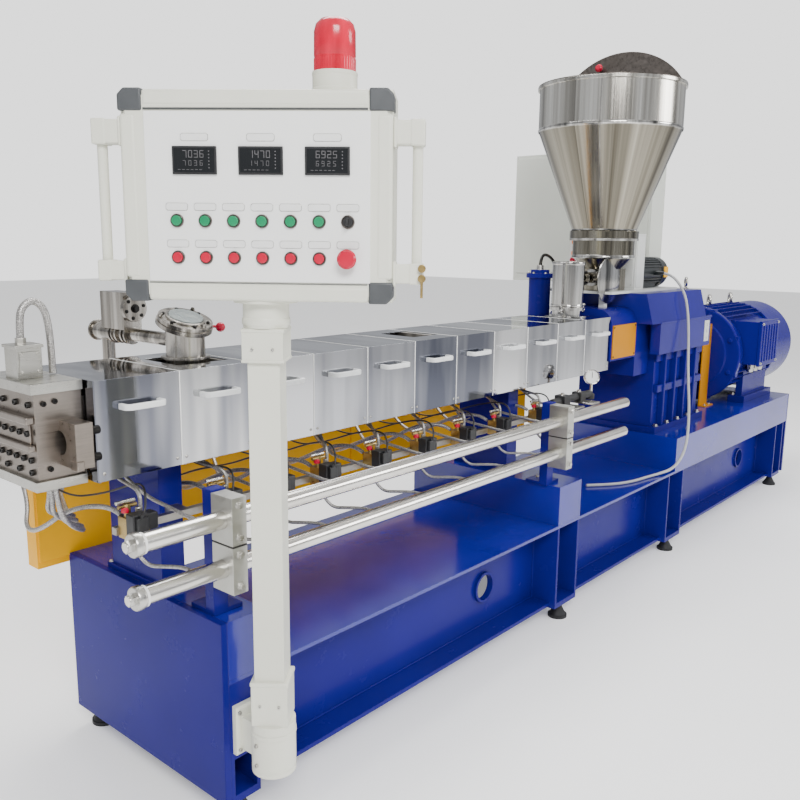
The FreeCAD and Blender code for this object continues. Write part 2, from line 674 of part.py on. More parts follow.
def die_head():
    """Strand die block with plates over and under it, a side lug and a junction box."""
    end = "(row_start - adapter_length)"
    start = f"({end} - die_length)"
    front = "axis_depth - die_half_width"
    back = "axis_depth + die_half_width"
    low = "axis_height - die_half_height"
    high = "axis_height + die_half_height"
    keep("die_block", fuse([
        block((start, end), (front, back), (low, high)),
        block((end, "row_start"), ("axis_depth - adapter_half_width", "axis_depth + adapter_half_width"),
              (f"{low} + 20", f"{high} - 20"))]))
    plates = [block((f"{start} - die_plate_edge", end),
                    (f"{front} - die_plate_edge", f"{back} + die_plate_edge"), zs)
              for zs in ((f"{low} - die_plate", low), (high, f"{high} + die_plate"))]
    keep("die_cover_plates", group(plates))
    lug_end = f"({end} - 15)"
    middle = "(axis_height - 20)"
    lug = block((f"{lug_end} - die_lug_thick", lug_end), (f"{front} - die_lug_reach", front),
                (f"{middle} - die_lug_height/2", f"{middle} + die_lug_height/2"))
    notch = rod("die_lug_notch", "die_lug_thick + 20", f"{lug_end} - die_lug_thick - 10",
                f"{front}", middle, ACROSS_X)
    keep("die_side_lug", cut(lug, [notch]))
    box_x = f"{start} + 5"
    keep("die_junction_box", block((box_x, f"{box_x} + junction_size"),
                                   ("axis_depth - 40", "axis_depth - 40 + junction_size"),
                                   (f"{high} + die_plate", f"{high} + die_plate + junction_height")))


def tilted_disc(radius, low, height, bore=None):
    """A disc on the slanted lid plane of the pot, from a height along its own axis."""
    disc = doc.addObject("Part::Cylinder", "Disc")
    tool = doc.addObject("Part::Cylinder", "Bore") if bore else None
    for piece, piece_radius, extra in ((disc, radius, 0), (tool, bore, 5)):
        if piece is None:
            continue
        bind(piece, "Radius", piece_radius)
        bind(piece, "Height", f"({height}) + {2 * extra}")
        piece.Placement.Rotation = FreeCAD.Rotation(FreeCAD.Vector(1, 0, 0), 1)
        bind(piece, "Placement.Rotation.Angle", "pot_tilt")
        along = f"({low} - {extra})"
        place(piece, POT_X, f"axis_depth - {along}*sin(pot_tilt)",
              f"pot_lid_height + {along}*cos(pot_tilt)")
    return cut(disc, [tool]) if bore else disc


def vent_pot():
    base_height = "axis_height + barrel_half_height"
    body = rod("pot_radius", f"pot_lid_height + 60 - ({base_height})", POT_X, "axis_depth", base_height)
    above = doc.addObject("Part::Cylinder", "AboveLid")
    bind(above, "Radius", "pot_lid_radius*2")
    bind(above, "Height", "200")
    above.Placement.Rotation = FreeCAD.Rotation(FreeCAD.Vector(1, 0, 0), 1)
    bind(above, "Placement.Rotation.Angle", "pot_tilt")
    place(above, POT_X, "axis_depth", "pot_lid_height")
    keep("vent_pot", fuse([cut(body, [above]), tilted_disc("pot_lid_radius", "-pot_flange", "pot_flange")]))
    keep("vent_lid", tilted_disc("pot_lid_radius - 3", "0", "lid_thick", "glass_radius"))
    keep("vent_glass", tilted_disc("glass_radius", "0", "lid_thick + glass_height"))


def vent_pipework():
    """Suction pipe from the pot to the rear, a tee there and a drop to the trough."""
    end = "(base_width + trough_depth + suction_overhang)"
    start = "axis_depth + 20"
    horizontal = rod("suction_radius", f"{end} - ({start})", POT_X, start, "suction_height", ACROSS_Y)
    tee = rod("tee_radius", "tee_length", POT_X, f"{end} - tee_length", "suction_height", ACROSS_Y)
    drop = rod("suction_radius", "suction_height - trough_top", POT_X, "base_width + trough_depth/2",
               "trough_top")
    valve = block((f"{POT_X} - 30", f"{POT_X} + 30"), (f"{end} - 210", f"{end} - 80"),
                  ("suction_height + 15", "suction_height + 128"))
    flange = rod("40", "16", POT_X, f"{end} - 226", "suction_height + 80", ACROSS_Y)
    pot = rod("pot_radius", "400", POT_X, "axis_depth", "suction_height - 200")
    keep("vent_pipework", cut(fuse([horizontal, tee, drop, valve, flange]), [pot]))


def feed_stack():
    base_height = "axis_height + barrel_half_height"
    keep("feed_stack", fuse([
        rod("stack_radius - 4", f"stack_seam - ({base_height})", STACK_X, "axis_depth", base_height),
        rod("stack_radius + 6", "2*stack_clamp", STACK_X, "axis_depth", "stack_seam - stack_clamp"),
        rod("stack_radius", "stack_top - stack_seam", STACK_X, "axis_depth", "stack_seam")]))


def gearbox():
    """Lantern with an arched top, gearbox on its feet, hood over both, blank plate and oil filter."""
    start = ROW_END
    front = "axis_depth - lantern_half_width"
    back = "axis_depth + lantern_half_width"
    arch = doc.addObject("Part::Fillet", "Arch")
    lantern = block((start, "hood_start"), (front, back), ("lantern_bottom", "lantern_top"))
    doc.recompute()
    arch.Base = lantern
    shoulder = min(size("lantern_round"), size("lantern_half_width") - 1)
    arch.Edges = [(index, shoulder, shoulder) for index in long_top_edges(lantern.Shape)]
    neck = block(("hood_start", "gearbox_start"), (front, back), ("neck_bottom", "hood_bottom"))
    keep("gearbox_lantern", fuse([arch, neck]))
    keep("blank_badge", block((f"{start} + 10", f"{start} + 10 + badge_length - 15"),
                              (f"{front} - badge_thick", front),
                              ("badge_bottom", "badge_bottom + badge_height")))
    sides = ("axis_depth - gearbox_half_width", "axis_depth + gearbox_half_width")
    wide = ("axis_depth - gearbox_half_width - gearbox_foot_edge",
            "axis_depth + gearbox_half_width + gearbox_foot_edge")
    keep("gearbox_housing", fuse([
        block(("gearbox_start", "gearbox_end"), sides, ("bed_top", "hood_bottom")),
        block(("gearbox_start - 20", "gearbox_end + 20"), wide, ("bed_top", "bed_top + gearbox_foot"))]))
    outline = [
        ("0", "0"),
        ("2*hood_half_bottom", "0"),
        ("hood_half_bottom + hood_half_top", "hood_top - hood_bottom"),
        ("hood_half_bottom - hood_half_top", "hood_top - hood_bottom")]
    hood = extruded("YZ_Plane", outline, "hood_end - hood_start")
    place(hood, "hood_start", "axis_depth - hood_half_bottom", "hood_bottom")
    aprons = [block(("apron_start", "gearbox_end"), ys, ("apron_bottom", "hood_bottom"))
              for ys in (("axis_depth - hood_half_bottom", "axis_depth - gearbox_half_width"),
                         ("axis_depth + gearbox_half_width", "axis_depth + hood_half_bottom"))]
    keep("gearbox_hood", fuse([hood] + aprons))
    keep("oil_filter", fuse([
        rod("filter_radius", "filter_top - filter_bottom", "filter_x", FILTER_Y, "filter_bottom"),
        rod("filter_radius + filter_head_edge", "22", "filter_x", FILTER_Y, "filter_top - 12"),
        rod("filter_radius - 8", "18", "filter_x", FILTER_Y, "filter_top + 10"),
        block(("filter_x - 25", "filter_x + 25"), (back, FILTER_Y),
              ("filter_bottom + 30", "filter_bottom + 90"))]))


FILTER_Y = "(axis_depth + lantern_half_width + filter_standoff + filter_radius)"


def long_top_edges(shape):
    """Numbers of a box's two upper edges that run along X."""
    top = shape.BoundBox.ZMax
    found = []
    for index, edge in enumerate(shape.Edges, start=1):
        along = abs(edge.tangentAt(edge.FirstParameter).x) > 0.9
        if along and abs(edge.CenterOfMass.z - top) < 0.01:
            found.append(index)
    return found


def drive():
    """Motor on its feet, fan cowl, terminal box, coupling to the gearbox and the guard over it."""
    axis = ("axis_depth", "motor_height")
    keep("motor_body", fuse([
        rod("shield_radius", "shield_length", "motor_start", *axis, ACROSS_X),
        rod("motor_radius", "motor_end - motor_start", "motor_start", *axis, ACROSS_X),
        *[block(("motor_foot_start", "motor_foot_end"),
                (f"{middle} - motor_foot_width/2", f"{middle} + motor_foot_width/2"),
                ("bed_top", "bed_top + motor_foot_thick")) for middle in MOTOR_FEET],
        *[block(("motor_foot_start + 40", "motor_foot_end - 40"),
                (f"{middle} - 20", f"{middle} + 20"),
                ("bed_top", "motor_height - motor_radius/2 + 20")) for middle in MOTOR_FEET]]))
    keep("motor_fan_cowl", rod("cowl_radius", "cowl_end - motor_end", "motor_end", *axis, ACROSS_X))
    box = block(("terminal_start", "terminal_start + terminal_length"), ("terminal_front", "axis_depth"),
                ("terminal_bottom", "terminal_bottom + terminal_height"))
    body = rod("motor_radius", "motor_end - motor_start", "motor_start", *axis, ACROSS_X)
    keep("motor_terminal_box", cut(box, [body]))
    keep("drive_coupling", rod("coupling_radius", "motor_start - gearbox_end", "gearbox_end", *axis,
                               ACROSS_X))
    guard_ends = ("guard_start", "guard_start + guard_length")
    front = "axis_depth - guard_half_width"
    back = "axis_depth + guard_half_width"
    shell = block(guard_ends, (front, back), ("bed_top", "guard_top"))
    hollow = block(("guard_start - 10", "guard_start + guard_length + 10"),
                   (f"{front} + guard_sheet", f"{back} - guard_sheet"),
                   ("bed_top - 10", "guard_top - guard_sheet"))
    feet = [block(guard_ends, ys, ("bed_top", "bed_top + guard_sheet"))
            for ys in ((f"{front} - guard_foot", f"{front} + 2"), (f"{back} - 2", f"{back} + guard_foot"))]
    keep("coupling_guard", fuse([cut(shell, [hollow])] + feet))


MOTOR_FEET = ("axis_depth - motor_track/2", "axis_depth + motor_track/2")


def feeder():
    """Plate on legs, screw box, bowl with discharge tube, gear housing, motor and switch box."""
    plate_top = "(hood_top + feeder_plate)"
    legs = [block(("leg_x", "leg_x + leg"), (f"{middle} - leg/2", f"{middle} + leg/2"),
                  ("lantern_top", "hood_top"))
            for middle in ("axis_depth - leg_half_track", "axis_depth + leg_half_track")]
    sheet_plate = block(("plate_start", "plate_end"), ("plate_front", "plate_back"), ("hood_top", plate_top))
    reach = "(filter_radius + filter_head_edge + plate_notch)"
    notch = block(("plate_start - 10", f"filter_x + {reach}"), (f"{FILTER_Y} - {reach}", "plate_back + 10"),
                  ("hood_top - 10", f"{plate_top} + 10"))
    keep("feeder_plate", fuse([cut(sheet_plate, [notch]), *legs]))
    bowl = turned_profile([
        ("0", "0"),
        ("bowl_neck", "0"),
        ("bowl_radius", "bowl_shoulder - screw_box_top"),
        ("bowl_radius", "bowl_top - screw_box_top"),
        ("0", "bowl_top - screw_box_top")])
    place(bowl, "feeder_x", "axis_depth", "screw_box_top")
    screw_box = block(("feeder_x - trough_box", "feeder_x + trough_box"),
                      ("axis_depth - trough_box", "axis_depth + trough_box"), (plate_top, "screw_box_top"))
    spout_start = f"({STACK_X} + stack_radius - 3)"
    stack = rod("stack_radius", "400", STACK_X, "axis_depth", "spout_height - 200")
    spout = cut(rod("spout_radius", f"feeder_x - {spout_start}", spout_start, "axis_depth", "spout_height",
                    ACROSS_X),
                [stack])
    keep("feeder_bowl", fuse([bowl, screw_box, spout]))
    housing_end = "(drive_box_start + drive_box_length)"
    keep("feeder_housing", block(("drive_box_start", housing_end), ("drive_box_front", "drive_box_back"),
                                 (plate_top, "drive_box_top")))
    motor_z = f"{plate_top} + feeder_motor_radius + 4"
    keep("feeder_motor", fuse([
        rod("feeder_motor_radius", f"feeder_motor_end - {housing_end}", housing_end, "axis_depth", motor_z,
            ACROSS_X),
        block((f"{housing_end} + 60", f"{housing_end} + 220"), ("axis_depth - 60", "axis_depth + 60"),
              (plate_top, f"{motor_z} - 30")),
        rod("gland_radius", "feeder_motor_radius + gland_length - 10", "gland_x",
            "axis_depth - feeder_motor_radius - gland_length", motor_z, ACROSS_Y)]))
    keep("feeder_switch_box", block(("drive_box_start - switch_depth", "drive_box_start"),
                                    ("drive_box_back - switch_width - 5", "drive_box_back - 5"),
                                    ("switch_bottom", "switch_bottom + switch_height")))


def hopper():
    """Conical hopper shell, and a lid with a flap that is hinged along a chord."""
    shell = turned_profile([
        ("throat_radius - hopper_wall", "0"),
        ("hopper_flange_radius", "0"),
        ("hopper_flange_radius", "hopper_flange"),
        ("throat_radius", "hopper_flange"),
        ("hopper_radius", "cone_top - bowl_top"),
        ("hopper_radius", "hopper_top - bowl_top - 14"),
        ("hopper_radius + rim_bead", "hopper_top - bowl_top - 14"),
        ("hopper_radius + rim_bead", "hopper_top - bowl_top"),
        ("hopper_radius - hopper_wall", "hopper_top - bowl_top"),
        ("hopper_radius - hopper_wall", "cone_top - bowl_top"),
        ("throat_radius - hopper_wall", "hopper_flange")])
    place(shell, "feeder_x", "axis_depth", "bowl_top")
    keep("hopper_shell", shell)
    radius = size("hopper_radius") + size("rim_bead") - 2
    thick = size("lid_sheet")
    chord = size("lid_offset")
    seat = FreeCAD.Vector(size("feeder_x") - size("end_plate") - size("pocket_end") / 2,
                          size("axis_depth") - size("foot_inset"), size("hopper_top"))
    about = FreeCAD.Rotation(FreeCAD.Vector(0, 0, 1), size("lid_turn"))
    plate = Part.makeCylinder(radius, thick)
    half = size("lid_gap") / 2
    near = Part.makeBox(radius + chord - half, 2 * radius, thick, FreeCAD.Vector(-radius, -radius, 0))
    far = Part.makeBox(radius, 2 * radius, thick, FreeCAD.Vector(chord + half, -radius, 0))
    fixed = direct([plate.common(near).multiFuse(lid_hinges(-1, thick))])
    fixed.Placement = FreeCAD.Placement(seat, about)
    keep("hopper_fixed_lid", fixed)
    flap = plate.common(far).multiFuse(lid_hinges(1, thick))
    pin = FreeCAD.Vector(chord, 0, thick + size("lid_knuckle"))
    opening = FreeCAD.Rotation(FreeCAD.Vector(0, 1, 0), -size("lid_open"))
    raised = direct([flap])
    raised.Placement = FreeCAD.Placement(seat, about).multiply(FreeCAD.Placement(FreeCAD.Vector(), opening,
                                                                                 pin))
    keep("hopper_hinged_lid", raised)


def lid_hinges(side, seat):
    """Leaves and knuckles of the flap's two hinges: side -1 for the fixed lid's, 1 for the flap's."""
    knuckle = size("lid_knuckle")
    chord = size("lid_offset")
    leaf = size("lid_leaf")
    pieces = []
    for centre in (-HINGE_PLACE, HINGE_PLACE):
        starts = [centre - KNUCKLE_LENGTH / 2] if side < 0 else [
            centre - 1.5 * KNUCKLE_LENGTH - size("lid_seat"),
            centre + 0.5 * KNUCKLE_LENGTH + size("lid_seat")]
        for y in starts:
            pieces.append(Part.makeCylinder(knuckle, KNUCKLE_LENGTH, FreeCAD.Vector(chord, y, seat + knuckle),
                                            FreeCAD.Vector(0, 1, 0)))
            low_x = chord - LEAF_WIDTH if side < 0 else chord
            pieces.append(Part.makeBox(LEAF_WIDTH, KNUCKLE_LENGTH, leaf, FreeCAD.Vector(low_x, y, seat)))
    return pieces


HINGE_PLACE = 170        # hinge to the middle of the chord
KNUCKLE_LENGTH = 24
LEAF_WIDTH = 34


def cabinet():
    ends = ("cabinet_start", "cabinet_start + cabinet_depth")
    sides = ("cabinet_front", "cabinet_front + cabinet_width")
    beams = [block(xs, sides, ("hood_top + feeder_plate", "cabinet_bottom"))
             for xs in ((ends[0], f"{ends[0]} + cabinet_beam/2"), (f"{ends[1]} - cabinet_beam/2", ends[1]))]
    shoe = block(ends, ("cabinet_front", "axis_depth + hood_half_top"),
                 ("hood_top", "hood_top + feeder_plate"))
    keep("rear_cabinet", fuse([block(ends, sides, ("cabinet_bottom", "cabinet_top")), *beams, shoe]))


def cooling():
    """Two water manifolds in clamp blocks, and a valve for each barrel on a rail under the covers."""
    pipes = []
    for z in ("pipe_low", "pipe_high"):
        pipes.append(fuse([
            rod("pipe_radius", "pipe_end - pipe_start - pipe_radius", "pipe_start", "pipe_depth", z,
                ACROSS_X),
            rod("plug_radius", "plug_length", "pipe_start", "pipe_depth", z, ACROSS_X),
            rod("pipe_radius/2", "20", "pipe_start - 20", "pipe_depth", z, ACROSS_X),
            cap("pipe_end - pipe_radius", "pipe_depth", z)]))
    keep("water_manifolds", group(pipes))
    blocks = []
    brackets = []
    for start in ("clamp_first", "clamp_second"):
        end = f"{start} + clamp_length"
        back = "pipe_depth + clamp_half_width"
        for z in ("pipe_low", "pipe_high"):
            body = block((start, end), ("pipe_depth - clamp_half_width", back),
                         (f"{z} - clamp_height/2", f"{z} + clamp_height/2"))
            bore = rod("pipe_radius", "clamp_length + 20", f"{start} - 10", "pipe_depth", z, ACROSS_X)
            blocks.append(cut(body, [bore]))
        brackets.append(fuse([
            block((start, end), (back, f"{back} + clamp_back"),
                  ("block_top", "pipe_high + clamp_height/2 + 5")),
            block((start, f"{start} + clamp_foot_length"), (back, f"{back} + clamp_back + clamp_foot_depth"),
                  ("block_top", "block_top + clamp_foot"))]))
    keep("pipe_clamps", group(blocks))
    keep("clamp_brackets", group(brackets))
    rail = [block(("rail_start", "rail_end"), ("rail_depth", "rail_depth + rail_side"),
                  ("rail_height", "rail_height + rail_side"))]
    for start in COLUMNS:
        rail.append(block((f"{start} + 17", f"{start} + column_length - 17"), ("rail_depth", "column_front"),
                          ("rail_height", "rail_height + rail_side")))
    keep("valve_rail", fuse(rail))
    valves = []
    for along in VALVE_PLACES:
        x = f"(row_start + {along}*barrel_pitch)"
        base_z = "(rail_height - valve_sink)"
        valves.append(fuse([
            block((f"{x} - valve_length/2", f"{x} + valve_length/2"),
                  ("rail_depth - valve_depth", "rail_depth"),
                  (base_z, f"{base_z} + valve_height")),
            rod("needle_radius", "needle_height", f"{x} - 18", "rail_depth - valve_depth/2",
                f"{base_z} + valve_height"),
            rod("needle_radius - 4", "tee_handle", f"{x} - 18 - tee_handle/2", "rail_depth - valve_depth/2",
                f"{base_z} + valve_height + needle_height - 6", ACROSS_X)]))
    keep("cooling_valves", group(valves))


def cap(x, y, z):
    """The rounded end of a manifold."""
    ball = doc.addObject("Part::Sphere", "Cap")
    bind(ball, "Radius", "pipe_radius")
    place(ball, x, y, z)
    return ball


def cooling_hoses():
    """Three hoses a station: lower manifold to valve, valve to barrel, and barrel to upper manifold."""
    dx = -size("end_plate") - size("pocket_end") / 2
    dy = -size("foot_inset")
    face = size("pipe_depth") + dy + size("pipe_radius")
    valve_y = size("rail_depth") - size("valve_depth") / 2 + dy
    valve_bottom = size("rail_height") - size("valve_sink")
    valve_top = valve_bottom + size("valve_height")
    barrel_bottom = size("axis_height") - size("barrel_half_height")
    barrel_y = size("axis_depth") - size("barrel_half_width") / 2 + dy
    low = size("pipe_low")
    high = size("pipe_high")
    radius = size("hose_radius")
    hoses = []
    for along in VALVE_PLACES:
        x = size("row_start") + along * size("barrel_pitch") + dx
        middle = size("row_start") + (int(along) + 0.5) * size("barrel_pitch") + dx
        hoses.append(tube([
            (x + 60, face, low),
            (x + 60, face + 59, low),
            (x + 18, valve_y - 30, valve_bottom - 79),
            (x + 5, valve_y, valve_bottom - 49),
            (x + 5, valve_y, valve_bottom)], radius, "supply hose"))
        hoses.append(tube([
            (x + 20, valve_y, valve_top),
            (x + 20, valve_y, valve_top + 58),
            (middle - 10, barrel_y, barrel_bottom - 58),
            (middle - 10, barrel_y, barrel_bottom)], radius, "barrel hose"))
        hoses.append(tube([
            (x + 80, face, high),
            (x + 80, face + 60, high),
            (x + 84, face + 150, high + 6),
            (x + 80, face + 235, high + 14),
            (middle + 12, barrel_y, barrel_bottom - 58),
            (middle + 12, barrel_y, barrel_bottom)], radius, "return hose"))
    keep("cooling_hoses", direct(hoses))


def panel_post():
    """Wall joint on the base's front, square post in its sleeves, and the panel's turning collar."""
    stack_height = "(hinge_split + hinge_cap + lid_seat)"
    keep("post_wall_joint", fuse([
        block(("post_x - hinge_plate_width/2", "post_x + hinge_plate_width/2"), ("-hinge_plate_thick", "0"),
              ("hinge_plate_bottom", "hinge_plate_bottom + hinge_plate_height")),
        block(("post_x - hinge_arm_half", "post_x + hinge_arm_half"), ("post_y", "-hinge_plate_thick/2"),
              ("hinge_bottom + 25", "hinge_split")),
        rod("hinge_radius", "hinge_split - hinge_bottom", "post_x", "post_y", "hinge_bottom")]))
    half = "post_side/2"
    post = turned(fuse([
        rod("hinge_radius", "hinge_cap", "0", "0", "hinge_split + lid_seat", local=True),
        block(("-sleeve_side/2", "sleeve_side/2"), ("-sleeve_side/2", "sleeve_side/2"),
              (stack_height, "sleeve_top"), local=True),
        block((f"-{half}", half), (f"-{half}", half), (stack_height, "collar_split"), local=True),
        block(("-collar_side/2", "collar_side/2"), ("-collar_side/2", "collar_side/2"),
              ("collar_bottom", "collar_split"), local=True)]))
    keep("panel_post", post)
    keep("panel_collar", turned(group([
        rod("coupling_half", "panel_bottom - collar_split - lid_seat", "0", "0", "collar_split + lid_seat",
            local=True)])))


def control_panel():
    """Flat enclosure with bevelled front edges, a pair of bar handles and a beacon."""
    front = "-panel_depth/2"
    half = "panel_width/2"
    enclosure = block((f"-{half}", half), (front, "panel_depth/2"),
                      ("panel_bottom", "panel_bottom + panel_height"), local=True)
    doc.recompute()
    bevel = doc.addObject("Part::Chamfer", "Bevel")
    bevel.Base = enclosure
    depth = size("panel_bevel")
    bevel.Edges = [(index, depth, depth) for index in front_edges(enclosure.Shape)]
    keep("control_enclosure", turned(group([bevel])))
    grips = []
    for side in (-1, 1):
        outer = f"{side}*({half} + grip_reach)"
        xs = (outer, f"-{half}") if side < 0 else (half, outer)
        ys = (f"{front} + grip_setback", f"{front} + grip_setback + grip_depth")
        grips.append(fuse([
            block(xs, ys, ("grip_low", "grip_low + grip_low_size"), local=True),
            block(xs, ys, ("grip_high", "grip_high + grip_high_size"), local=True),
            rod("grip_bar", "grip_high - grip_low", f"{side}*({half} + grip_bar_reach)",
                f"{front} + grip_setback + grip_depth/2", "grip_low + 10", local=True)]))
    keep("panel_handles", turned(group(grips)))
    top = "(panel_bottom + panel_height)"
    keep("beacon_base", turned(group([
        rod("beacon_base", "beacon_base_height", "beacon_x", "0", top, local=True)])))
    keep("beacon_lens", turned(group([
        rod("beacon_radius", "beacon_height", "beacon_x", "0", f"{top} + beacon_base_height", local=True)])))


def front_edges(shape):
    """Numbers of the edges round a box's front face."""
    front = shape.BoundBox.YMin
    return [index for index, edge in enumerate(shape.Edges, start=1)
            if abs(edge.CenterOfMass.y - front) < 0.01]


# the feeder's cable, from its gland over the hood and down to the deck, in the part's own frame
CABLE_ROUTE = [
    (3041, 245, 1403),
    (3041, 205, 1403),
    (3034, 145, 1372),
    (3022, 90, 1300),
    (3008, 62, 1205),
    (3006, 50, 1095),
    (2998, 40, 975),
    (2975, 22, 860),
    (2928, -10, 755),
    (2862, -42, 665),
    (2800, -66, 585),
    (2752, -68, 510),
    (2700, -46, 452),
    (2620, -8, 434),
    (2520, 14, 432),
    (2400, 30, 432),
    (2290, 76, 432),
    (2194, 160, 432),
]


def feeder_cable():
    keep("feeder_cable", direct([tube(CABLE_ROUTE, size("cable_radius"), "feeder cable")]))


def check_and_write():
    doc.recompute()
    for item in doc.Objects:
        if "Invalid" in item.State or "Error" in item.State:
            raise RuntimeError(f"{item.Label} failed: {item.State}")
    for piece in nodes:
        if piece.Shape.isNull() or not piece.Shape.isValid() or not piece.Shape.Solids:
            raise RuntimeError(f"{piece.Label} has no valid solid")
    os.makedirs("parts", exist_ok=True)
    for piece in nodes:
        piece.Shape.exportStep(f"parts/{piece.Label}.step")
    print(len(nodes), "sub-parts written")


fill_sheet()
levelling_feet()
base()
supports_and_trough()
barrels()
covers()
cover_handles()
die_head()
vent_pot()
vent_pipework()
feed_stack()
gearbox()
drive()
feeder()
hopper()
cabinet()
cooling()
cooling_hoses()
panel_post()
control_panel()
feeder_cable()
check_and_write()
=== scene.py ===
"""Finishes, small parts, light and camera for the twin-screw extruder, in metres in the CAD model's frame."""
import bmesh
import bpy
import json
import math
from mathutils import Matrix, Vector


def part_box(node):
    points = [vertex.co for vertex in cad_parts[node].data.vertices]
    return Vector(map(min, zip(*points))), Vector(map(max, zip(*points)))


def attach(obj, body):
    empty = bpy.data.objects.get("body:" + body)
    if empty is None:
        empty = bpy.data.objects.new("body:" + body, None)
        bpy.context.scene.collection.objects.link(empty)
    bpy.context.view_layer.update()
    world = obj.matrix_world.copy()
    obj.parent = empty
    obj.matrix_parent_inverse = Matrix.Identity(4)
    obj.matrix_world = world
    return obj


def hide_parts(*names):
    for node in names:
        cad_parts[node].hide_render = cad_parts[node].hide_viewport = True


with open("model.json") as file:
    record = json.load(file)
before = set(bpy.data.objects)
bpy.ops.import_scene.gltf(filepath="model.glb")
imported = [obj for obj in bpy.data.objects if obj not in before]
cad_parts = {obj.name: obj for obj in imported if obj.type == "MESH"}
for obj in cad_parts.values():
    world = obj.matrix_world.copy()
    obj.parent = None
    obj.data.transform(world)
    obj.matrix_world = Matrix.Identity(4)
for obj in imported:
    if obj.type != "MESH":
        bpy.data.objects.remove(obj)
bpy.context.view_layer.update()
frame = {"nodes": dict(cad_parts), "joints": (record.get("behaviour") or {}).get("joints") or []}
UP = Vector((0, 0, 1))
ALONG = Vector((1, 0, 0))
BACK = Vector((0, 1, 0))
BARREL_PITCH = 0.240
ROW_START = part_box("barrel_row")[0].x
BARRELS = 11
CENTRE_Y = 0.346               # the line that the die, barrels, coupling, motor and hopper share
DRIVE_Z = 0.895                # height of the motor's and coupling's axis
HOPPER_AXIS = (2.591, CENTRE_Y)
SPOUT_Z = 1.388                # height of the feeder's screw tube
WATER_Z = (0.730, 0.859)       # heights of the two water manifolds
BOX_FOOT_Z = 0.624             # top of the gearbox's foot


# ---------------------------------------------------------------- finishes

class Finish:
    """A node material on one Principled shader, with the texture nodes that it needs."""

    def __init__(self, name):
        self.material = bpy.data.materials.new(name)
        self.material.use_nodes = True
        self.tree = self.material.node_tree
        self.shader = self.tree.nodes["Principled BSDF"]
        self.place = self.add("ShaderNodeTexCoord").outputs["Object"]

    def add(self, kind, **values):
        node = self.tree.nodes.new(kind)
        for key, value in values.items():
            setattr(node, key, value)
        return node

    def link(self, source, target):
        self.tree.links.new(source, target)

    def noise(self, scale, stretch=(1, 1, 1), detail=4, roughness=0.55):
        mapping = self.add("ShaderNodeMapping")
        mapping.inputs["Scale"].default_value = stretch
        self.link(self.place, mapping.inputs["Vector"])
        noise = self.add("ShaderNodeTexNoise")
        noise.inputs["Scale"].default_value = scale
        noise.inputs["Detail"].default_value = detail
        noise.inputs["Roughness"].default_value = roughness
        self.link(mapping.outputs["Vector"], noise.inputs["Vector"])
        return noise.outputs["Fac"]

    def around(self, x, y):
        """Turn the coordinates into angle round an upright axis, and height."""
        split = self.add("ShaderNodeSeparateXYZ")
        offset = self.add("ShaderNodeVectorMath", operation="SUBTRACT")
        offset.inputs[1].default_value = (x, y, 0)
        self.link(self.place, offset.inputs[0])
        self.link(offset.outputs["Vector"], split.inputs["Vector"])
        angle = self.add("ShaderNodeMath", operation="ARCTAN2")
        self.link(split.outputs["Y"], angle.inputs[0])
        self.link(split.outputs["X"], angle.inputs[1])
        joined = self.add("ShaderNodeCombineXYZ")
        self.link(angle.outputs[0], joined.inputs["X"])
        self.link(split.outputs["Z"], joined.inputs["Z"])
        self.place = joined.outputs["Vector"]
        return split.outputs["Z"]

    def ramp(self, value, stops):
        ramp = self.add("ShaderNodeValToRGB")
        ramp.color_ramp.elements[0].position = stops[0][0]
        ramp.color_ramp.elements[0].color = (*stops[0][1], 1)
        ramp.color_ramp.elements[1].position = stops[-1][0]
        ramp.color_ramp.elements[1].color = (*stops[-1][1], 1)
        for position, color in stops[1:-1]:
            ramp.color_ramp.elements.new(position).color = (*color, 1)
        self.link(value, ramp.inputs["Fac"])
        return ramp.outputs["Color"]

    def tint(self, source):
        self.link(source, self.shader.inputs["Base Color"])

    def drift(self, value, color, share, low=0.3):
        """A colour that wanders from a share darker to a share lighter."""
        return self.ramp(value, [(low, shade(color, 1 - share)), (1 - low, shade(color, 1 + share))])

    def uneven(self, value, low, high):
        """Roughness that wanders between two numbers."""
        spread = self.add("ShaderNodeMapRange")
        spread.inputs["From Min"].default_value = 0.3
        spread.inputs["From Max"].default_value = 0.7
        spread.inputs["To Min"].default_value = low
        spread.inputs["To Max"].default_value = high
        self.link(value, spread.inputs["Value"])
        self.link(spread.outputs["Result"], self.shader.inputs["Roughness"])

    def multiply(self, first, second):
        mix = self.add("ShaderNodeMix", data_type="RGBA", blend_type="MULTIPLY")
        mix.inputs["Factor"].default_value = 1.0
        self.link(first, mix.inputs["A"])
        self.link(second, mix.inputs["B"])
        return mix.outputs["Result"]

    def relief(self, height, strength, distance, edge=0.0):
        """Bump from a height, over edges that are softened by a radius."""
        bump = self.add("ShaderNodeBump")
        bump.inputs["Strength"].default_value = strength
        bump.inputs["Distance"].default_value = distance
        self.link(height, bump.inputs["Height"])
        if edge:
            bevel = self.add("ShaderNodeBevel", samples=4)
            bevel.inputs["Radius"].default_value = edge
            self.link(bevel.outputs["Normal"], bump.inputs["Normal"])
        self.link(bump.outputs["Normal"], self.shader.inputs["Normal"])

    def set(self, **values):
        for key, value in values.items():
            self.shader.inputs[key.replace("_", " ")].default_value = value


def shade(color, factor):
    return tuple(min(1.0, channel * factor) for channel in color)


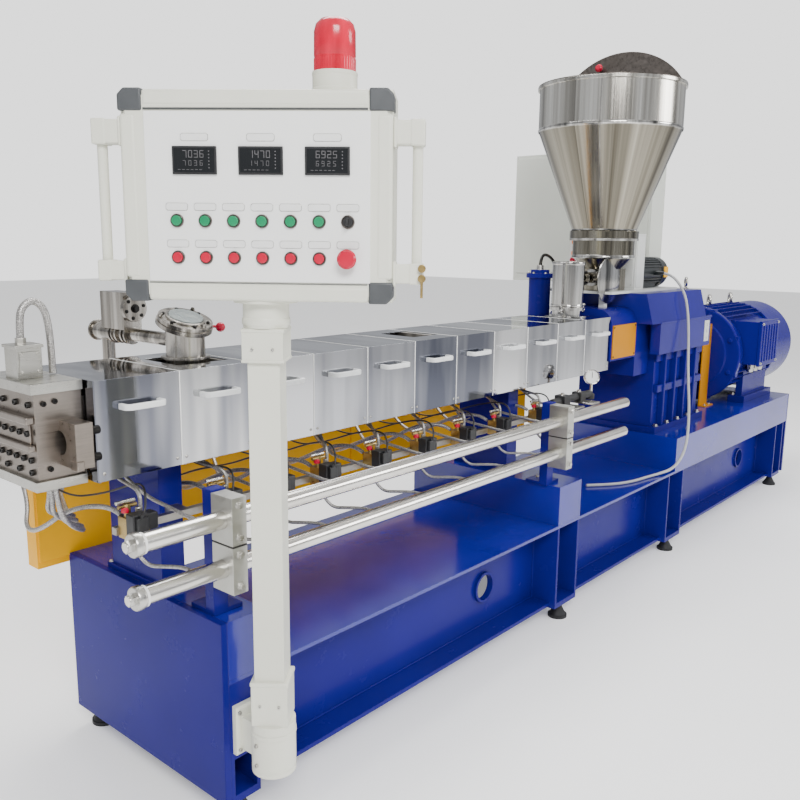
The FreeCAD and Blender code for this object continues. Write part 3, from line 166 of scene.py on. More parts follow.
def paint(name, color, rough=0.3, coat=0.3, vary=0.12, edge=0.003, gloss=0.4):
    """Sprayed paint: slow colour drift, orange-peel relief and a clear coat."""
    finish = Finish(name)
    finish.tint(finish.drift(finish.noise(2.2, detail=5), color, vary))
    finish.uneven(finish.noise(9, detail=6, roughness=0.65), rough * 0.75, rough * 1.35)
    finish.relief(finish.noise(260, detail=2), 0.12, 0.0006, edge)
    finish.set(Coat_Weight=coat, Coat_Roughness=0.12, Specular_IOR_Level=gloss)
    return finish.material


def steel(name, color, rough=0.25, grain=(1, 1, 1), vary=0.15, relief=0.08, edge=0.002):
    """Bare steel: brush lines stretched along the grain, stains, and uneven gloss."""
    finish = Finish(name)
    lines = finish.noise(60, grain, detail=5, roughness=0.7)
    stains = finish.noise(5, detail=6, roughness=0.6)
    brushed = finish.drift(lines, color, vary, 0.25)
    stained = finish.ramp(stains, [(0.3, (0.82, 0.8, 0.77)), (0.62, (1, 1, 1))])
    finish.tint(finish.multiply(brushed, stained))
    finish.uneven(lines, rough * 0.7, rough * 1.4)
    finish.relief(lines, relief, 0.0004, edge)
    finish.set(Metallic=1.0)
    return finish.material


def mirror_sheet():
    """Polished cover sheet: slightly wavy, with painted reflection in its colour: each cover a little lighter
    or darker than the next, and broad light and dark upright bands across them.
    """
    finish = Finish("polished_cover")
    split = finish.add("ShaderNodeSeparateXYZ")
    finish.link(finish.place, split.inputs["Vector"])
    count = finish.add("ShaderNodeMath", operation="SUBTRACT")
    finish.link(split.outputs["X"], count.inputs[0])
    count.inputs[1].default_value = ROW_START
    step = finish.add("ShaderNodeMath", operation="SNAP")
    finish.link(count.outputs[0], step.inputs[0])
    step.inputs[1].default_value = BARREL_PITCH
    # painted reflection: each cover gets a lighter or darker tone of its own
    cover_reflection_tone = finish.add("ShaderNodeTexWhiteNoise", noise_dimensions="1D")
    finish.link(step.outputs[0], cover_reflection_tone.inputs["W"])
    panel = finish.ramp(cover_reflection_tone.outputs["Value"],
                        [(0.0, (0.2, 0.21, 0.25)), (0.55, (0.42, 0.425, 0.45)), (1.0, (0.7, 0.7, 0.7))])
    # painted reflection: broad light and dark upright bands across the covers
    bands = finish.noise(1.7, (3.4, 1, 0.35), detail=3)
    painted_reflection_bands = finish.ramp(bands, [(0.38, (0.36, 0.37, 0.42)), (0.5, (0.8, 0.8, 0.8)), (0.6, (1, 1, 1))])
    finish.tint(finish.multiply(panel, painted_reflection_bands))
    finish.uneven(finish.noise(14, detail=7, roughness=0.7), 0.035, 0.11)
    finish.relief(finish.noise(3.5, detail=1), 0.25, 0.004, 0.0015)
    finish.set(Metallic=1.0)
    return finish.material


def streaked(name, dark, middle, light, scale, rough, axis=None, shade_below=None):
    """Rolled stainless sheet with upright streaks, broad and fine, that may run down a cone round an axis:
    the broad dark and light streaks are painted reflection and the fine ones are grain; under a given height
    the colour is darkened as painted shade.
    """
    finish = Finish(name)
    if axis:
        height = finish.around(*axis)
    # painted reflection: broad dark and light upright streaks in the colour
    streaks = finish.noise(scale, (1, 1, 0.03), detail=4, roughness=0.6)
    painted_reflection_streaks = finish.ramp(streaks, [(0.34, dark), (0.5, middle), (0.64, light)])
    fine = finish.noise(scale * 12, (1, 1, 0.04), detail=3)
    lined = finish.ramp(fine, [(0.3, (0.86, 0.85, 0.84)), (0.7, (1, 1, 1))])
    color = finish.multiply(painted_reflection_streaks, lined)
    if shade_below:    # painted shade: the cone under this height is darkened against the shell
        lower = finish.add("ShaderNodeMapRange")
        lower.inputs["From Min"].default_value = shade_below - 0.004
        lower.inputs["From Max"].default_value = shade_below
        finish.link(height, lower.inputs["Value"])
        cone_painted_shade = finish.ramp(lower.outputs["Result"], [(0.0, (0.46, 0.44, 0.39)), (1.0, (1, 1, 1))])
        color = finish.multiply(color, cone_painted_shade)
    finish.tint(color)
    finish.uneven(fine, rough * 0.7, rough * 1.4)
    finish.relief(fine, 0.06, 0.0004, 0.002)
    finish.set(Metallic=1.0)
    return finish.material


def plastic(name, color, rough=0.4, vary=0.08, texture=350):
    """Moulded plastic or rubber: faint mottling and a fine moulded texture."""
    finish = Finish(name)
    mottle = finish.noise(25, detail=4)
    finish.tint(finish.drift(mottle, color, vary))
    finish.uneven(mottle, rough * 0.85, rough * 1.15)
    finish.relief(finish.noise(texture, detail=2), 0.1, 0.0003, 0.0008)
    return finish.material


def braid():
    """Woven steel braid round a hose."""
    finish = Finish("braided_hose")
    weave = finish.add("ShaderNodeTexVoronoi", feature="F1")
    weave.inputs["Scale"].default_value = 420
    finish.link(finish.place, weave.inputs["Vector"])
    finish.tint(finish.ramp(weave.outputs["Distance"], [(0.1, (0.8, 0.78, 0.75)), (0.6, (0.26, 0.25, 0.24))]))
    finish.relief(weave.outputs["Distance"], 0.6, 0.0008)
    finish.set(Metallic=0.85, Roughness=0.42)
    return finish.material


def clear_glass():
    finish = Finish("sight_glass")
    finish.uneven(finish.noise(18, detail=4), 0.03, 0.15)
    finish.set(Base_Color=(0.75, 0.85, 0.85, 1), Transmission_Weight=0.7, IOR=1.5)
    return finish.material


def beacon_plastic():
    finish = Finish("beacon_plastic")
    tint = finish.noise(30, (1, 1, 0.2), detail=2)
    finish.tint(finish.ramp(tint, [(0.3, (0.42, 0.0, 0.016)), (0.7, (0.74, 0.002, 0.04))]))
    finish.uneven(tint, 0.12, 0.25)
    finish.set(Transmission_Weight=0.12, IOR=1.49, Emission_Color=(1, 0.01, 0.06, 1), Emission_Strength=0.03)
    return finish.material


BLUE = paint("royal_blue", (0.011, 0.0075, 0.165), 0.22, 0.0, edge=0.004, gloss=0.09)
HOOD_BLUE = paint("hood_blue", (0.013, 0.01, 0.18), 0.2, 0.06, gloss=0.14)
DECK = paint("deck_blue", (0.012, 0.013, 0.24), 0.15, 0.35, 0.16, 0.003)
YELLOW = paint("ochre_yellow", (0.95, 0.46, 0.0), 0.35, 0.0, 0.06, gloss=0.15)
BADGE = paint("badge_yellow", (0.5, 0.2, 0.0), 0.35, 0.0, 0.06, gloss=0.1)
PANEL = paint("panel_grey", (0.72, 0.72, 0.62), 0.38, 0.1, 0.04, 0.002, 0.3)
PLATE = paint("plate_grey", (0.86, 0.86, 0.84), 0.38, 0.05, 0.03, 0.001, 0.3)
CABINET = paint("cabinet_grey", (0.6, 0.62, 0.56), 0.4, 0.05, 0.05, gloss=0.3)
HOUSING = paint("housing_grey", (0.6, 0.61, 0.59), 0.35, 0.2, 0.05)
MOTOR_BLACK = paint("motor_black", (0.008, 0.011, 0.012), 0.35, 0.15, 0.2)
CAP = plastic("corner_grey", (0.06, 0.064, 0.068), 0.45)
WHITE = plastic("handle_white", (0.78, 0.79, 0.79), 0.3, 0.03)
BLACK = plastic("valve_black", (0.012, 0.012, 0.013), 0.42, 0.2)
RUBBER = plastic("foot_rubber", (0.01, 0.01, 0.011), 0.7, 0.2, 200)
CABLE = plastic("cable_grey", (0.4, 0.4, 0.4), 0.5, 0.06, 500)
SOCKET = plastic("socket_black", (0.02, 0.018, 0.016), 0.6, 0.2)
LABEL = plastic("blank_label", (0.8, 0.8, 0.78), 0.4, 0.02)
GREEN = plastic("green_button", (0.0, 0.22, 0.085), 0.22, 0.05)
RED = plastic("red_button", (0.5, 0.0, 0.03), 0.22, 0.06)
ORANGE = plastic("orange_lamp", (0.9, 0.25, 0.03), 0.3, 0.05)
SCREEN = plastic("meter_black", (0.008, 0.009, 0.01), 0.12, 0.1)
DIGITS = plastic("meter_digits", (0.12, 0.115, 0.12), 0.4, 0.1)
COVER = mirror_sheet()
# the hopper's broad streaks are painted reflection, and under 2.08 m its cone is darkened as painted shade
HOPPER = streaked("hopper_sheet", (0.12, 0.11, 0.095), (0.5, 0.48, 0.43), (0.85, 0.83, 0.77), 3.2, 0.18,
                  HOPPER_AXIS, 2.08)
# painted shade: the hopper's lids get this dark steel for the shade on them; the button bezels that share it
# are dark metal
SHADED_LID_AND_BEZEL = steel("lid_steel", (0.13, 0.115, 0.105), 0.3, (1, 1, 1))
BARREL = steel("barrel_steel", (0.4, 0.38, 0.35), 0.4)
DIE = steel("die_steel", (0.3, 0.265, 0.235), 0.34, (0.06, 1, 1), 0.25, 0.15)
DIE_PLATE = steel("die_plate_steel", (0.55, 0.54, 0.5), 0.3, (0.06, 1, 1), 0.14)
PIPE = steel("pipe_steel", (0.74, 0.72, 0.68), 0.2, (0.04, 1, 1), 0.16)
# the broad streaks of the pot and the stack are painted reflection
POT = streaked("pot_steel", (0.13, 0.12, 0.105), (0.36, 0.335, 0.3), (0.66, 0.63, 0.58), 22, 0.2)
STACK = streaked("stack_steel", (0.1, 0.1, 0.095), (0.4, 0.39, 0.37), (0.78, 0.77, 0.74), 16, 0.13)
CLAMP = steel("clamp_steel", (0.5, 0.5, 0.465), 0.42, (0.2, 1, 1), 0.08)
BOLT = steel("bolt_steel", (0.55, 0.54, 0.51), 0.3, vary=0.2)
DARK_BOLT = steel("blackened_steel", (0.035, 0.034, 0.033), 0.4, vary=0.25)
BRASS = steel("valve_brass", (0.46, 0.33, 0.13), 0.32, vary=0.2)
BRAID = braid()
GLASS = clear_glass()
BEACON = beacon_plastic()

CAD_FINISH = {
    BLUE: ["base_girders", "base_end_plates", "barrel_supports", "gearbox_lantern", "gearbox_housing",
           "motor_body",
           "motor_fan_cowl", "motor_terminal_box", "clamp_brackets", "oil_filter"],
    HOOD_BLUE: ["gearbox_hood"],
    DECK: ["base_deck", "deck_blocks", "raised_bed"],
    YELLOW: ["wiring_trough"],
    BADGE: ["coupling_guard", "blank_badge"],
    PANEL: ["post_wall_joint", "panel_post", "panel_collar", "control_enclosure", "panel_handles",
            "beacon_base"],
    CABINET: ["rear_cabinet"],
    HOUSING: ["feeder_housing", "feeder_plate"],
    MOTOR_BLACK: ["feeder_motor"],
    WHITE: ["feeder_switch_box"],
    RUBBER: ["levelling_feet"],
    COVER: ["barrel_covers", "open_vent_cover"],
    HOPPER: ["hopper_shell", "feeder_bowl"],
    SHADED_LID_AND_BEZEL: ["hopper_fixed_lid", "hopper_hinged_lid"],
    BARREL: ["barrel_row", "valve_rail"],
    DIE: ["die_block", "die_side_lug", "drive_coupling"],
    DIE_PLATE: ["die_cover_plates", "die_junction_box"],
    PIPE: ["water_manifolds"],
    CLAMP: ["pipe_clamps"],
    POT: ["vent_pot", "vent_lid", "vent_pipework"],
    STACK: ["feed_stack"],
    GLASS: ["vent_glass"],
    BRASS: ["cooling_valves"],
    BRAID: ["cooling_hoses"],
}
for material, names in CAD_FINISH.items():
    for name in names:
        for material_slot in frame["nodes"][name].material_slots:
            material_slot.material = material


# ---------------------------------------------------------------- mesh pieces

def show(name, data):
    """Put a mesh, curve, light or camera in the scene."""
    thing = bpy.data.objects.new(name, data)
    bpy.context.scene.collection.objects.link(thing)
    return thing


def facing(axis, place):
    """A frame at a place, with its Z along an axis."""
    return Matrix.Translation(place) @ Vector(axis).to_track_quat("Z", "Y").to_matrix().to_4x4()


def joint_place(name):
    return Vector(next(joint for joint in frame["joints"] if joint["name"] == name)["pos_m"])


def polar(radius, degrees):
    angle = math.radians(degrees)
    return radius * math.cos(angle), radius * math.sin(angle)


class Piece:
    """A mesh of simple solids in one frame and on one body, then given rounded edges and a finish."""

    def __init__(self, frame_matrix=None, body="machine"):
        self.mesh = bmesh.new()
        self.frame = frame_matrix or Matrix.Identity(4)
        self.body = body

    def keep(self, verts, matrix):
        bmesh.ops.transform(self.mesh, matrix=self.frame @ matrix, verts=verts)

    def box(self, low, high):
        low, high = Vector(low), Vector(high)
        made = bmesh.ops.create_cube(self.mesh, size=1)["verts"]
        self.keep(made, Matrix.Translation((low + high) / 2) @ Matrix.Diagonal((*(high - low), 1)))

    def rod(self, start, end, radius, sides=24, end_radius=None):
        start, end = Vector(start), Vector(end)
        made = bmesh.ops.create_cone(self.mesh, cap_ends=True, segments=sides, radius1=radius,
                                     radius2=radius if end_radius is None else end_radius,
                                     depth=(end - start).length)["verts"]
        self.keep(made, facing(end - start, (start + end) / 2))

    def ball(self, centre, radius):
        made = bmesh.ops.create_uvsphere(self.mesh, u_segments=20, v_segments=12, radius=radius)["verts"]
        self.keep(made, Matrix.Translation(centre))

    def skin(self, rings, sides):
        """Join rings of points, or a ring and a single point, each to the next."""
        for lower, upper in zip(rings, rings[1:]):
            for i in range(sides):
                corners = [lower[i % len(lower)], lower[(i + 1) % len(lower)],
                           upper[(i + 1) % len(upper)], upper[i % len(upper)]]
                self.mesh.faces.new(list(dict.fromkeys(corners)))

    def lathe(self, profile, origin, axis=UP, sides=48):
        """Turn (radius, height) points round an axis; the ends are closed when their radius is 0."""
        turn = facing(axis, origin)
        rings = []
        for radius, height in profile:
            count = 1 if radius == 0 else sides
            rings.append([self.mesh.verts.new(self.frame @ turn @ Vector((
                radius * math.cos(2 * math.pi * i / sides), radius * math.sin(2 * math.pi * i / sides),
                height)))
                for i in range(count)])
        self.skin(rings, sides)

    def loft(self, front, back):
        """Close the space between two outlines of equally many points."""
        front = [self.mesh.verts.new(point) for point in front]
        back = [self.mesh.verts.new(point) for point in back]
        self.mesh.faces.new(front)
        self.mesh.faces.new(back[::-1])
        for i in range(len(front)):
            j = (i + 1) % len(front)
            self.mesh.faces.new([front[j], front[i], back[i], back[j]])

    def prism(self, outline, origin, across, along, depth):
        """Push an outline, given in two directions from an origin, along the third."""
        across, along, depth = Vector(across), Vector(along), Vector(depth)
        points = [Vector(origin) + across * a + along * b for a, b in outline]
        self.loft([self.frame @ point for point in points],
                  [self.frame @ (point + depth) for point in points])

    def hex_bolt(self, place, out, size=0.012):
        """A hexagon head on a washer, standing on a face."""
        place, out = Vector(place), Vector(out).normalized()
        self.rod(place, place + out * size * 0.15, size * 0.95, 20)
        self.rod(place, place + out * size * 0.75, size * 0.72, 6, size * 0.68)

    def socket_bolt(self, place, out, size=0.010):
        """A round head with a hollow in its end."""
        profile = ((0.9, 0), (0.9, 0.7), (0.8, 0.85), (0.45, 0.85), (0.45, 0.3), (0, 0.3))
        self.lathe([(size * radius, size * height) for radius, height in profile],
                   place, Vector(out).normalized(), 20)

    def done(self, name, material, slot, rounding=0.0015, segments=2):
        """Finish the piece: round its sharp edges, shade its gentle ones smooth, and join it to its body."""
        bmesh.ops.recalc_face_normals(self.mesh, faces=self.mesh.faces)
        data = bpy.data.meshes.new(name)
        self.mesh.to_mesh(data)
        self.mesh.free()
        data.materials.append(material)
        piece = show(name, data)
        if rounding:
            bevel = piece.modifiers.new("Rounding", "BEVEL")
            bevel.width = rounding
            bevel.segments = segments
            bevel.limit_method = "ANGLE"
            bevel.angle_limit = math.radians(40)
        for polygon in data.polygons:
            polygon.use_smooth = True
        data.set_sharp_from_angle(angle=math.radians(38))
        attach(piece, self.body)
        return piece


def pieces(count, *frame_and_body):
    return [Piece(*frame_and_body) for _ in range(count)]


POINT_RADIUS = 0.01    # a curve's box grows by its points' radius, so that is small and the bevel large


def line(name, points, radius, material):
    """A round hose or wire along a smooth curve, on the machine."""
    data = bpy.data.curves.new(name, "CURVE")
    data.dimensions = "3D"
    data.bevel_depth = radius / POINT_RADIUS
    data.bevel_resolution = 4
    data.resolution_u = 8
    data.use_fill_caps = True
    spline = data.splines.new("NURBS")
    spline.points.add(len(points) - 1)
    for target, point in zip(spline.points, points):
        target.co = (*point, 1)
        target.radius = POINT_RADIUS
    spline.order_u = 3
    spline.use_endpoint_u = True
    data.materials.append(material)
    piece = show(name, data)
    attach(piece, "machine")
    return piece


# ---------------------------------------------------------------- the feeder's cable

CABLE_ROUTE = [
    (3.041, 0.245, 1.403), (3.041, 0.205, 1.403), (3.034, 0.145, 1.372), (3.022, 0.090, 1.300),
    (3.008, 0.062, 1.205), (3.006, 0.050, 1.095), (2.998, 0.040, 0.975), (2.975, 0.022, 0.860),
    (2.928, -0.010, 0.755), (2.862, -0.042, 0.665), (2.800, -0.066, 0.585), (2.752, -0.068, 0.510),
    (2.700, -0.046, 0.452), (2.620, -0.008, 0.434), (2.520, 0.014, 0.432), (2.400, 0.030, 0.432),
    (2.290, 0.076, 0.432), (2.194, 0.160, 0.432),
]


def feeder_cable():
    """The feeder's lead down to the base, and its strain relief."""
    cable = line("feeder_lead", CABLE_ROUTE, 0.007, CABLE)
    cable.data.resolution_u = 12
    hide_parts("feeder_cable")
    relief = Piece()
    exit_point = Vector(CABLE_ROUTE[0])
    relief.lathe([(0.0115, 0.0), (0.0115, 0.006), (0.0085, 0.022), (0.0078, 0.03), (0.0071, 0.03)],
                 exit_point + BACK * 0.002, -BACK, 24)
    relief.done("feeder_strain_relief", BLACK, "grey_cable", 0)


# ---------------------------------------------------------------- barrels and covers

def cover_parts():
    """Bow handles, seam strips and screws of the covers."""
    low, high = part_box("barrel_covers")
    bar_low, bar_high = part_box("handle_bars")
    front = low.y
    handle_z = (bar_low.z + bar_high.z) / 2
    out = bar_low.y + 0.006
    handles, seams, screws = pieces(3)
    for i in range(BARRELS):
        start = ROW_START + i * BARREL_PITCH
        middle = start + BARREL_PITCH / 2
        bow_handle(handles, middle, front, out, handle_z)
        if i:
            seams.box((start - 0.0016, front - 0.0012, low.z), (start + 0.0016, front + 0.001, high.z))
            seams.box((start - 0.0016, low.y, high.z - 0.001), (start + 0.0016, high.y, high.z + 0.0006))
        for side in (-1, 1):
            x = middle + side * (BARREL_PITCH / 2 - 0.014)
            screws.lathe([(0.0045, 0), (0.0045, 0.001), (0.003, 0.0024), (0, 0.0028)],
                         (x, front, low.z + 0.02), -BACK, 12)
    bows = handles.done("cover_bow_handles", WHITE, "white_handle", 0.002)
    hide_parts("handle_bars", "handle_arms")
    # the seams' light grey paint is a painted highlight along the covers' edges
    seams.done("cover_seams", PLATE, "mirror_steel", 0)
    screws.done("cover_screws", BOLT, "mirror_steel", 0)


def bow_handle(piece, middle, front, out, height):
    """A flat bow in a level plane: rounded corners outside, a finger slot inside."""
    half = 0.060
    thick = 0.012
    tall = 0.015
    corner = 0.020
    outer = []
    inner = []
    for side, start_angle in ((1, 0), (-1, 90)):
        for step in range(7):
            for side_points, radius in ((outer, corner), (inner, corner - thick)):
                x, y = polar(radius, start_angle + 90 * step / 6)
                side_points.append((side * (half - corner) + x, (front - out) + thick / 2 - corner + y))
    outline = [(half, 0)] + outer + [(-half, 0), (-half + thick, 0)] + inner[::-1] + [(half - thick, 0)]
    piece.prism(outline, (middle, front, height - tall / 2), (1, 0, 0), (0, -1, 0), (0, 0, tall))


def vent_parts():
    """Bolts, a clamp ring and a knob round the sight glass of the open vent, and collars, flanges and bolts
    of the pot and its pipework.
    """
    pot_low, pot_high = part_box("vent_pot")
    centre = Vector(((pot_low.x + pot_high.x) / 2, CENTRE_Y, 1.318))
    tilt = Matrix.Rotation(math.radians(20), 4, "X")
    lid = Matrix.Translation(centre) @ tilt
    bolts = Piece(lid)
    clamps = Piece(lid)
    for i in range(6):
        bolts.socket_bolt((*polar(0.063, 60 * i + 20), 0.012), UP, 0.0055)
    for i in range(3):
        out = Vector((*polar(1, 120 * i - 80), 0))
        clamps.rod(out * 0.071 + UP * -0.016, out * 0.071 + UP * 0.022, 0.005, 12)
        clamps.hex_bolt(out * 0.071 + UP * 0.012, UP, 0.009)
    clamps.lathe([(0.0485, 0.012), (0.0485, 0.016), (0.052, 0.018), (0.056, 0.016), (0.056, 0.012)],
                 Vector(), UP)
    bolts.done("sight_glass_screws", DARK_BOLT, "pot_steel", 0)
    clamps.done("sight_glass_ring", POT, "pot_steel", 0)
    knob = Piece(lid)
    knob.rod((0.070, -0.030, -0.004), (0.088, -0.036, -0.004), 0.004, 12)
    knob.ball((0.096, -0.040, -0.004), 0.014)
    knob.done("pot_knob", RED, "pot_steel", 0)
    pot = Piece()
    base = Vector((centre.x, centre.y, 1.180))
    pot.lathe([(0.0555, 0.036), (0.0685, 0.036), (0.0685, 0.044), (0.0555, 0.044)], base, UP)
    pot.done("pot_collar", POT, "pot_steel", 0.001)
    pipe = Piece()
    height = 1.262
    small = [(0.020, -0.004), (0.031, -0.004), (0.031, 0.004), (0.020, 0.004)]
    large = [(0.027, -0.004), (0.0335, -0.0035), (0.0335, 0.0035), (0.027, 0.004)]
    for profile, places in ((small, (0.62, 0.640, 0.672, 0.692)), (large, (0.705, 0.818))):
        for y in places:
            pipe.lathe(profile, (centre.x, y, height), BACK)
    pipe.lathe([(0.020, -0.005), (0.029, -0.004), (0.029, 0.004), (0.020, 0.005)],
               (centre.x, 0.757, 1.05), UP)
    pipe.done("pipe_flanges", POT, "pot_steel", 0.0008)
    wheel = Piece()
    disc = Vector((centre.x, 0.597, 1.342))
    for i in range(6):
        x, z = polar(0.030, 60 * i + 15)
        wheel.hex_bolt(disc + Vector((x, 0, z)), -BACK, 0.006)
    wheel.hex_bolt(disc, -BACK, 0.014)
    wheel.done("valve_flange_bolts", DARK_BOLT, "pot_steel", 0)


def stack_parts():
    """Hoops round the feed stack, and its two stubs with wing nuts."""
    low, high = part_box("feed_stack")
    centre = Vector(((low.x + high.x) / 2, (low.y + high.y) / 2, 0))
    rings = Piece()
    for profile in ([(0.0735, 1.452), (0.0765, 1.4525), (0.078, 1.459), (0.0765, 1.4655),
                     (0.070, 1.4675), (0.068, 1.463)],
                    [(0.074, 1.272), (0.0765, 1.268), (0.0765, 1.261), (0.074, 1.257)],
                    [(0.070, 1.2095), (0.098, 1.2105), (0.098, 1.2165), (0.070, 1.2165)]):
        rings.lathe(profile, centre, UP, 64)
    for side in (-1, 1):
        out = Vector((side, -0.25, 0)).normalized()
        stub = centre + out * 0.078 + UP * 1.250
        rings.rod(stub, stub + out * 0.030, 0.0065, 16)
        rings.hex_bolt(stub + out * 0.012, out, 0.013)
        for wing in (-1, 1):
            tip = stub + out * 0.034 + Vector((0, 0, wing * 0.014))
            rings.rod(stub + out * 0.028, tip, 0.006, 12, 0.0075)
            rings.ball(tip, 0.0085)
    rings.done("stack_rings", STACK, "mirror_steel", 0.0008)


# ---------------------------------------------------------------- die head

def die_parts():
    """Lips, bolts, lug heel and leads of the die, and the lid and conduit of its box."""
    low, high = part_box("die_block")
    face = low.x
    ridges = Piece()
    ridges.box((face - 0.020, low.y + 0.004, 1.118), (face + 0.001, high.y - 0.004, 1.136))
    ridges.box((face - 0.016, low.y + 0.004, 1.052), (face + 0.001, high.y - 0.004, 1.068))
    ridges.box((face - 0.006, low.y + 0.02, 1.068), (face + 0.001, high.y - 0.02, 1.118))
    ridges.done("die_lips", DIE, "die_steel", 0.003, 3)
    sockets = Piece()
    for z, count in ((1.162, 4), (1.094, 6), (1.028, 6), (0.998, 4)):
        for i in range(count):
            y = low.y + 0.026 + i * (high.y - low.y - 0.052) / (count - 1)
            depth = 0.006 if abs(z - 1.094) < 0.01 else 0.0
            sockets.socket_bolt((face - depth, y, z), -ALONG, 0.0085)
    sockets.done("die_end_bolts", DARK_BOLT, "die_steel", 0)
    side = Piece()
    for x, z in ((0.022, 1.165), (0.05, 1.168), (0.03, 1.006), (0.094, 1.005)):
        side.socket_bolt((face + x, low.y, z), -BACK, 0.0075)
    lug_low, lug_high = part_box("die_side_lug")
    for z in (lug_low.z + 0.022, lug_high.z - 0.022):
        head = Vector((lug_high.x, lug_low.y + 0.0115, z))
        side.lathe([(0.0105, 0), (0.0105, 0.020), (0.0095, 0.0215), (0.0055, 0.0215),
                    (0.0055, 0.012), (0, 0.012)], head, ALONG, 24)
    side.done("die_side_bolts", DARK_BOLT, "die_steel", 0)
    heel = Piece()
    heel.box(lug_low - Vector((0.001, 0.004, 0.004)), lug_low + Vector((0.018, 0.03, 0.02)))
    heel.done("lug_heel", DIE, "die_steel", 0.002)
    box_low, box_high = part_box("die_junction_box")
    lid = Piece()
    lid.box((box_low.x - 0.004, box_low.y - 0.004, box_high.z - 0.006),
            box_high + Vector((0.004, 0.004, 0.002)))
    lid.box((box_low.x + 0.006, box_low.y - 0.003, box_low.z + 0.012),
            (box_high.x - 0.006, box_low.y, box_high.z - 0.014))
    for x in (box_low.x + 0.012, box_high.x - 0.012):
        for z in (box_low.z + 0.018, box_high.z - 0.020):
            lid.socket_bolt((x, box_low.y - 0.003, z), -BACK, 0.003)
    lid.rod((box_low.x + 0.031, CENTRE_Y, box_high.z), (box_low.x + 0.031, CENTRE_Y, box_high.z + 0.016),
            0.013, 6)
    lid.done("junction_lid", DIE_PLATE, "grey_box", 0.001)
    top = box_high.z
    x = box_low.x + 0.031
    bend = [(0, CENTRE_Y, 0.012), (0, CENTRE_Y, 0.05), (0.006, 0.345, 0.088), (0.034, 0.343, 0.108),
            (0.062, 0.340, 0.085), (0.070, 0.338, 0.03), (0.071, 0.337, -0.04), (0.071, 0.336, -0.076)]
    line("die_conduit", [(x + along, y, top + rise) for along, y, rise in bend], 0.009, BRAID)
    for i, y in enumerate((0.245, 0.275, 0.33, 0.37)):
        line(f"die_lead_{i + 1}", [(face + 0.05 + 0.015 * i, y, 0.958), (face + 0.052 + 0.015 * i, y, 0.90),
                                   (face + 0.09, y + 0.02, 0.84), (face + 0.15 + 0.02 * i, y + 0.07, 0.80),
                                   (face + 0.20, y + 0.16, 0.77), (face + 0.25, 0.60, 0.76),
                                   (face + 0.30, 0.728, 0.80)],
             0.006, BRAID)


# ---------------------------------------------------------------- cooling

def cooling_parts():
    """Coils, knobs, plugs, clamp bolts and the gauge on the water side."""
    low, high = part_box("cooling_valves")
    coils, plugs, knobs, handles, fittings = pieces(5)
    for x in islands(frame["nodes"]["cooling_valves"], 0.10):
        front = low.y
        coils.box((x - 0.030, front - 0.034, low.z + 0.012), (x + 0.012, front + 0.002, low.z + 0.072))
        coils.box((x + 0.014, front - 0.020, low.z + 0.020), (x + 0.050, front + 0.016, low.z + 0.064))
        plugs.box((x - 0.024, front - 0.046, low.z + 0.030), (x + 0.006, front - 0.034, low.z + 0.066))
        plugs.rod((x - 0.009, front - 0.040, low.z + 0.064), (x - 0.009, front - 0.040, low.z + 0.074),
                  0.006, 12)
        handles.rod((x - 0.044, low.y + 0.022, high.z + 0.006), (x + 0.010, low.y + 0.022, high.z + 0.006),
                    0.0052, 14)
        knobs.lathe([(0.0, 0.0), (0.010, 0.0), (0.0105, 0.006), (0.0085, 0.014), (0.0, 0.014)],
                    (x - 0.018, low.y + 0.022, high.z - 0.022), UP, 16)
        fittings.rod((x + 0.005, low.y + 0.022, low.z - 0.016), (x + 0.005, low.y + 0.022, low.z), 0.0085, 6)
        fittings.rod((x + 0.020, low.y + 0.022, low.z + 0.056), (x + 0.020, low.y + 0.022, low.z + 0.074),
                     0.0085, 6)
        for across, z in zip((0.060, 0.080), WATER_Z):
            fittings.rod((x + across, 0.0, z), (x + across, 0.022, z), 0.009, 6)
        loose_hose(x)
    coils.done("valve_coils", BLACK, "valve_brass", 0.003, 3)
    plugs.done("coil_plugs", BLACK, "valve_brass", 0.002)
    knobs.done("needle_knobs", RED, "valve_brass", 0.001)
    handles.done("needle_handles", PIPE, "valve_brass", 0.0015)
    fittings.done("hose_nuts", BOLT, "valve_brass", 0.0008)
    clamp_bolts()
    pipe_ends()
    gauge()


def loose_hose(x):
    """A braided lead that droops from a valve to the trough behind the barrels."""
    sway = 0.03 * math.sin(x * 9.0)
    line(f"trough_hose_{round(x * 1000) + 400}",
         [(x - 0.010, 0.214, 0.852), (x - 0.014, 0.25, 0.872), (x - 0.05 + sway, 0.34, 0.86),
          (x - 0.08 + sway, 0.46, 0.79 + sway / 2), (x - 0.06 + sway, 0.58, 0.75), (x - 0.03, 0.68, 0.79),
          (x - 0.02, 0.729, 0.83)],
         0.0065, BRAID)
    line(f"trough_wire_{round(x * 1000) + 400}",
         [(x - 0.009, 0.110, 0.872), (x - 0.004, 0.105, 0.895), (x + 0.03, 0.16, 0.93),
          (x + 0.06 - sway, 0.30, 0.90),
          (x + 0.07 - sway, 0.48, 0.83), (x + 0.05, 0.62, 0.80), (x + 0.04, 0.729, 0.84)],
         0.003, BLACK)


def islands(node, gap):
    """The middle, along the machine, of each separate group of a node's points."""
    places = sorted(vertex.co.x for vertex in node.data.vertices)
    groups = [[places[0]]]
    for place in places[1:]:
        if place - groups[-1][-1] > gap:
            groups.append([])
        groups[-1].append(place)
    return [(group[0] + group[-1]) / 2 for group in groups]


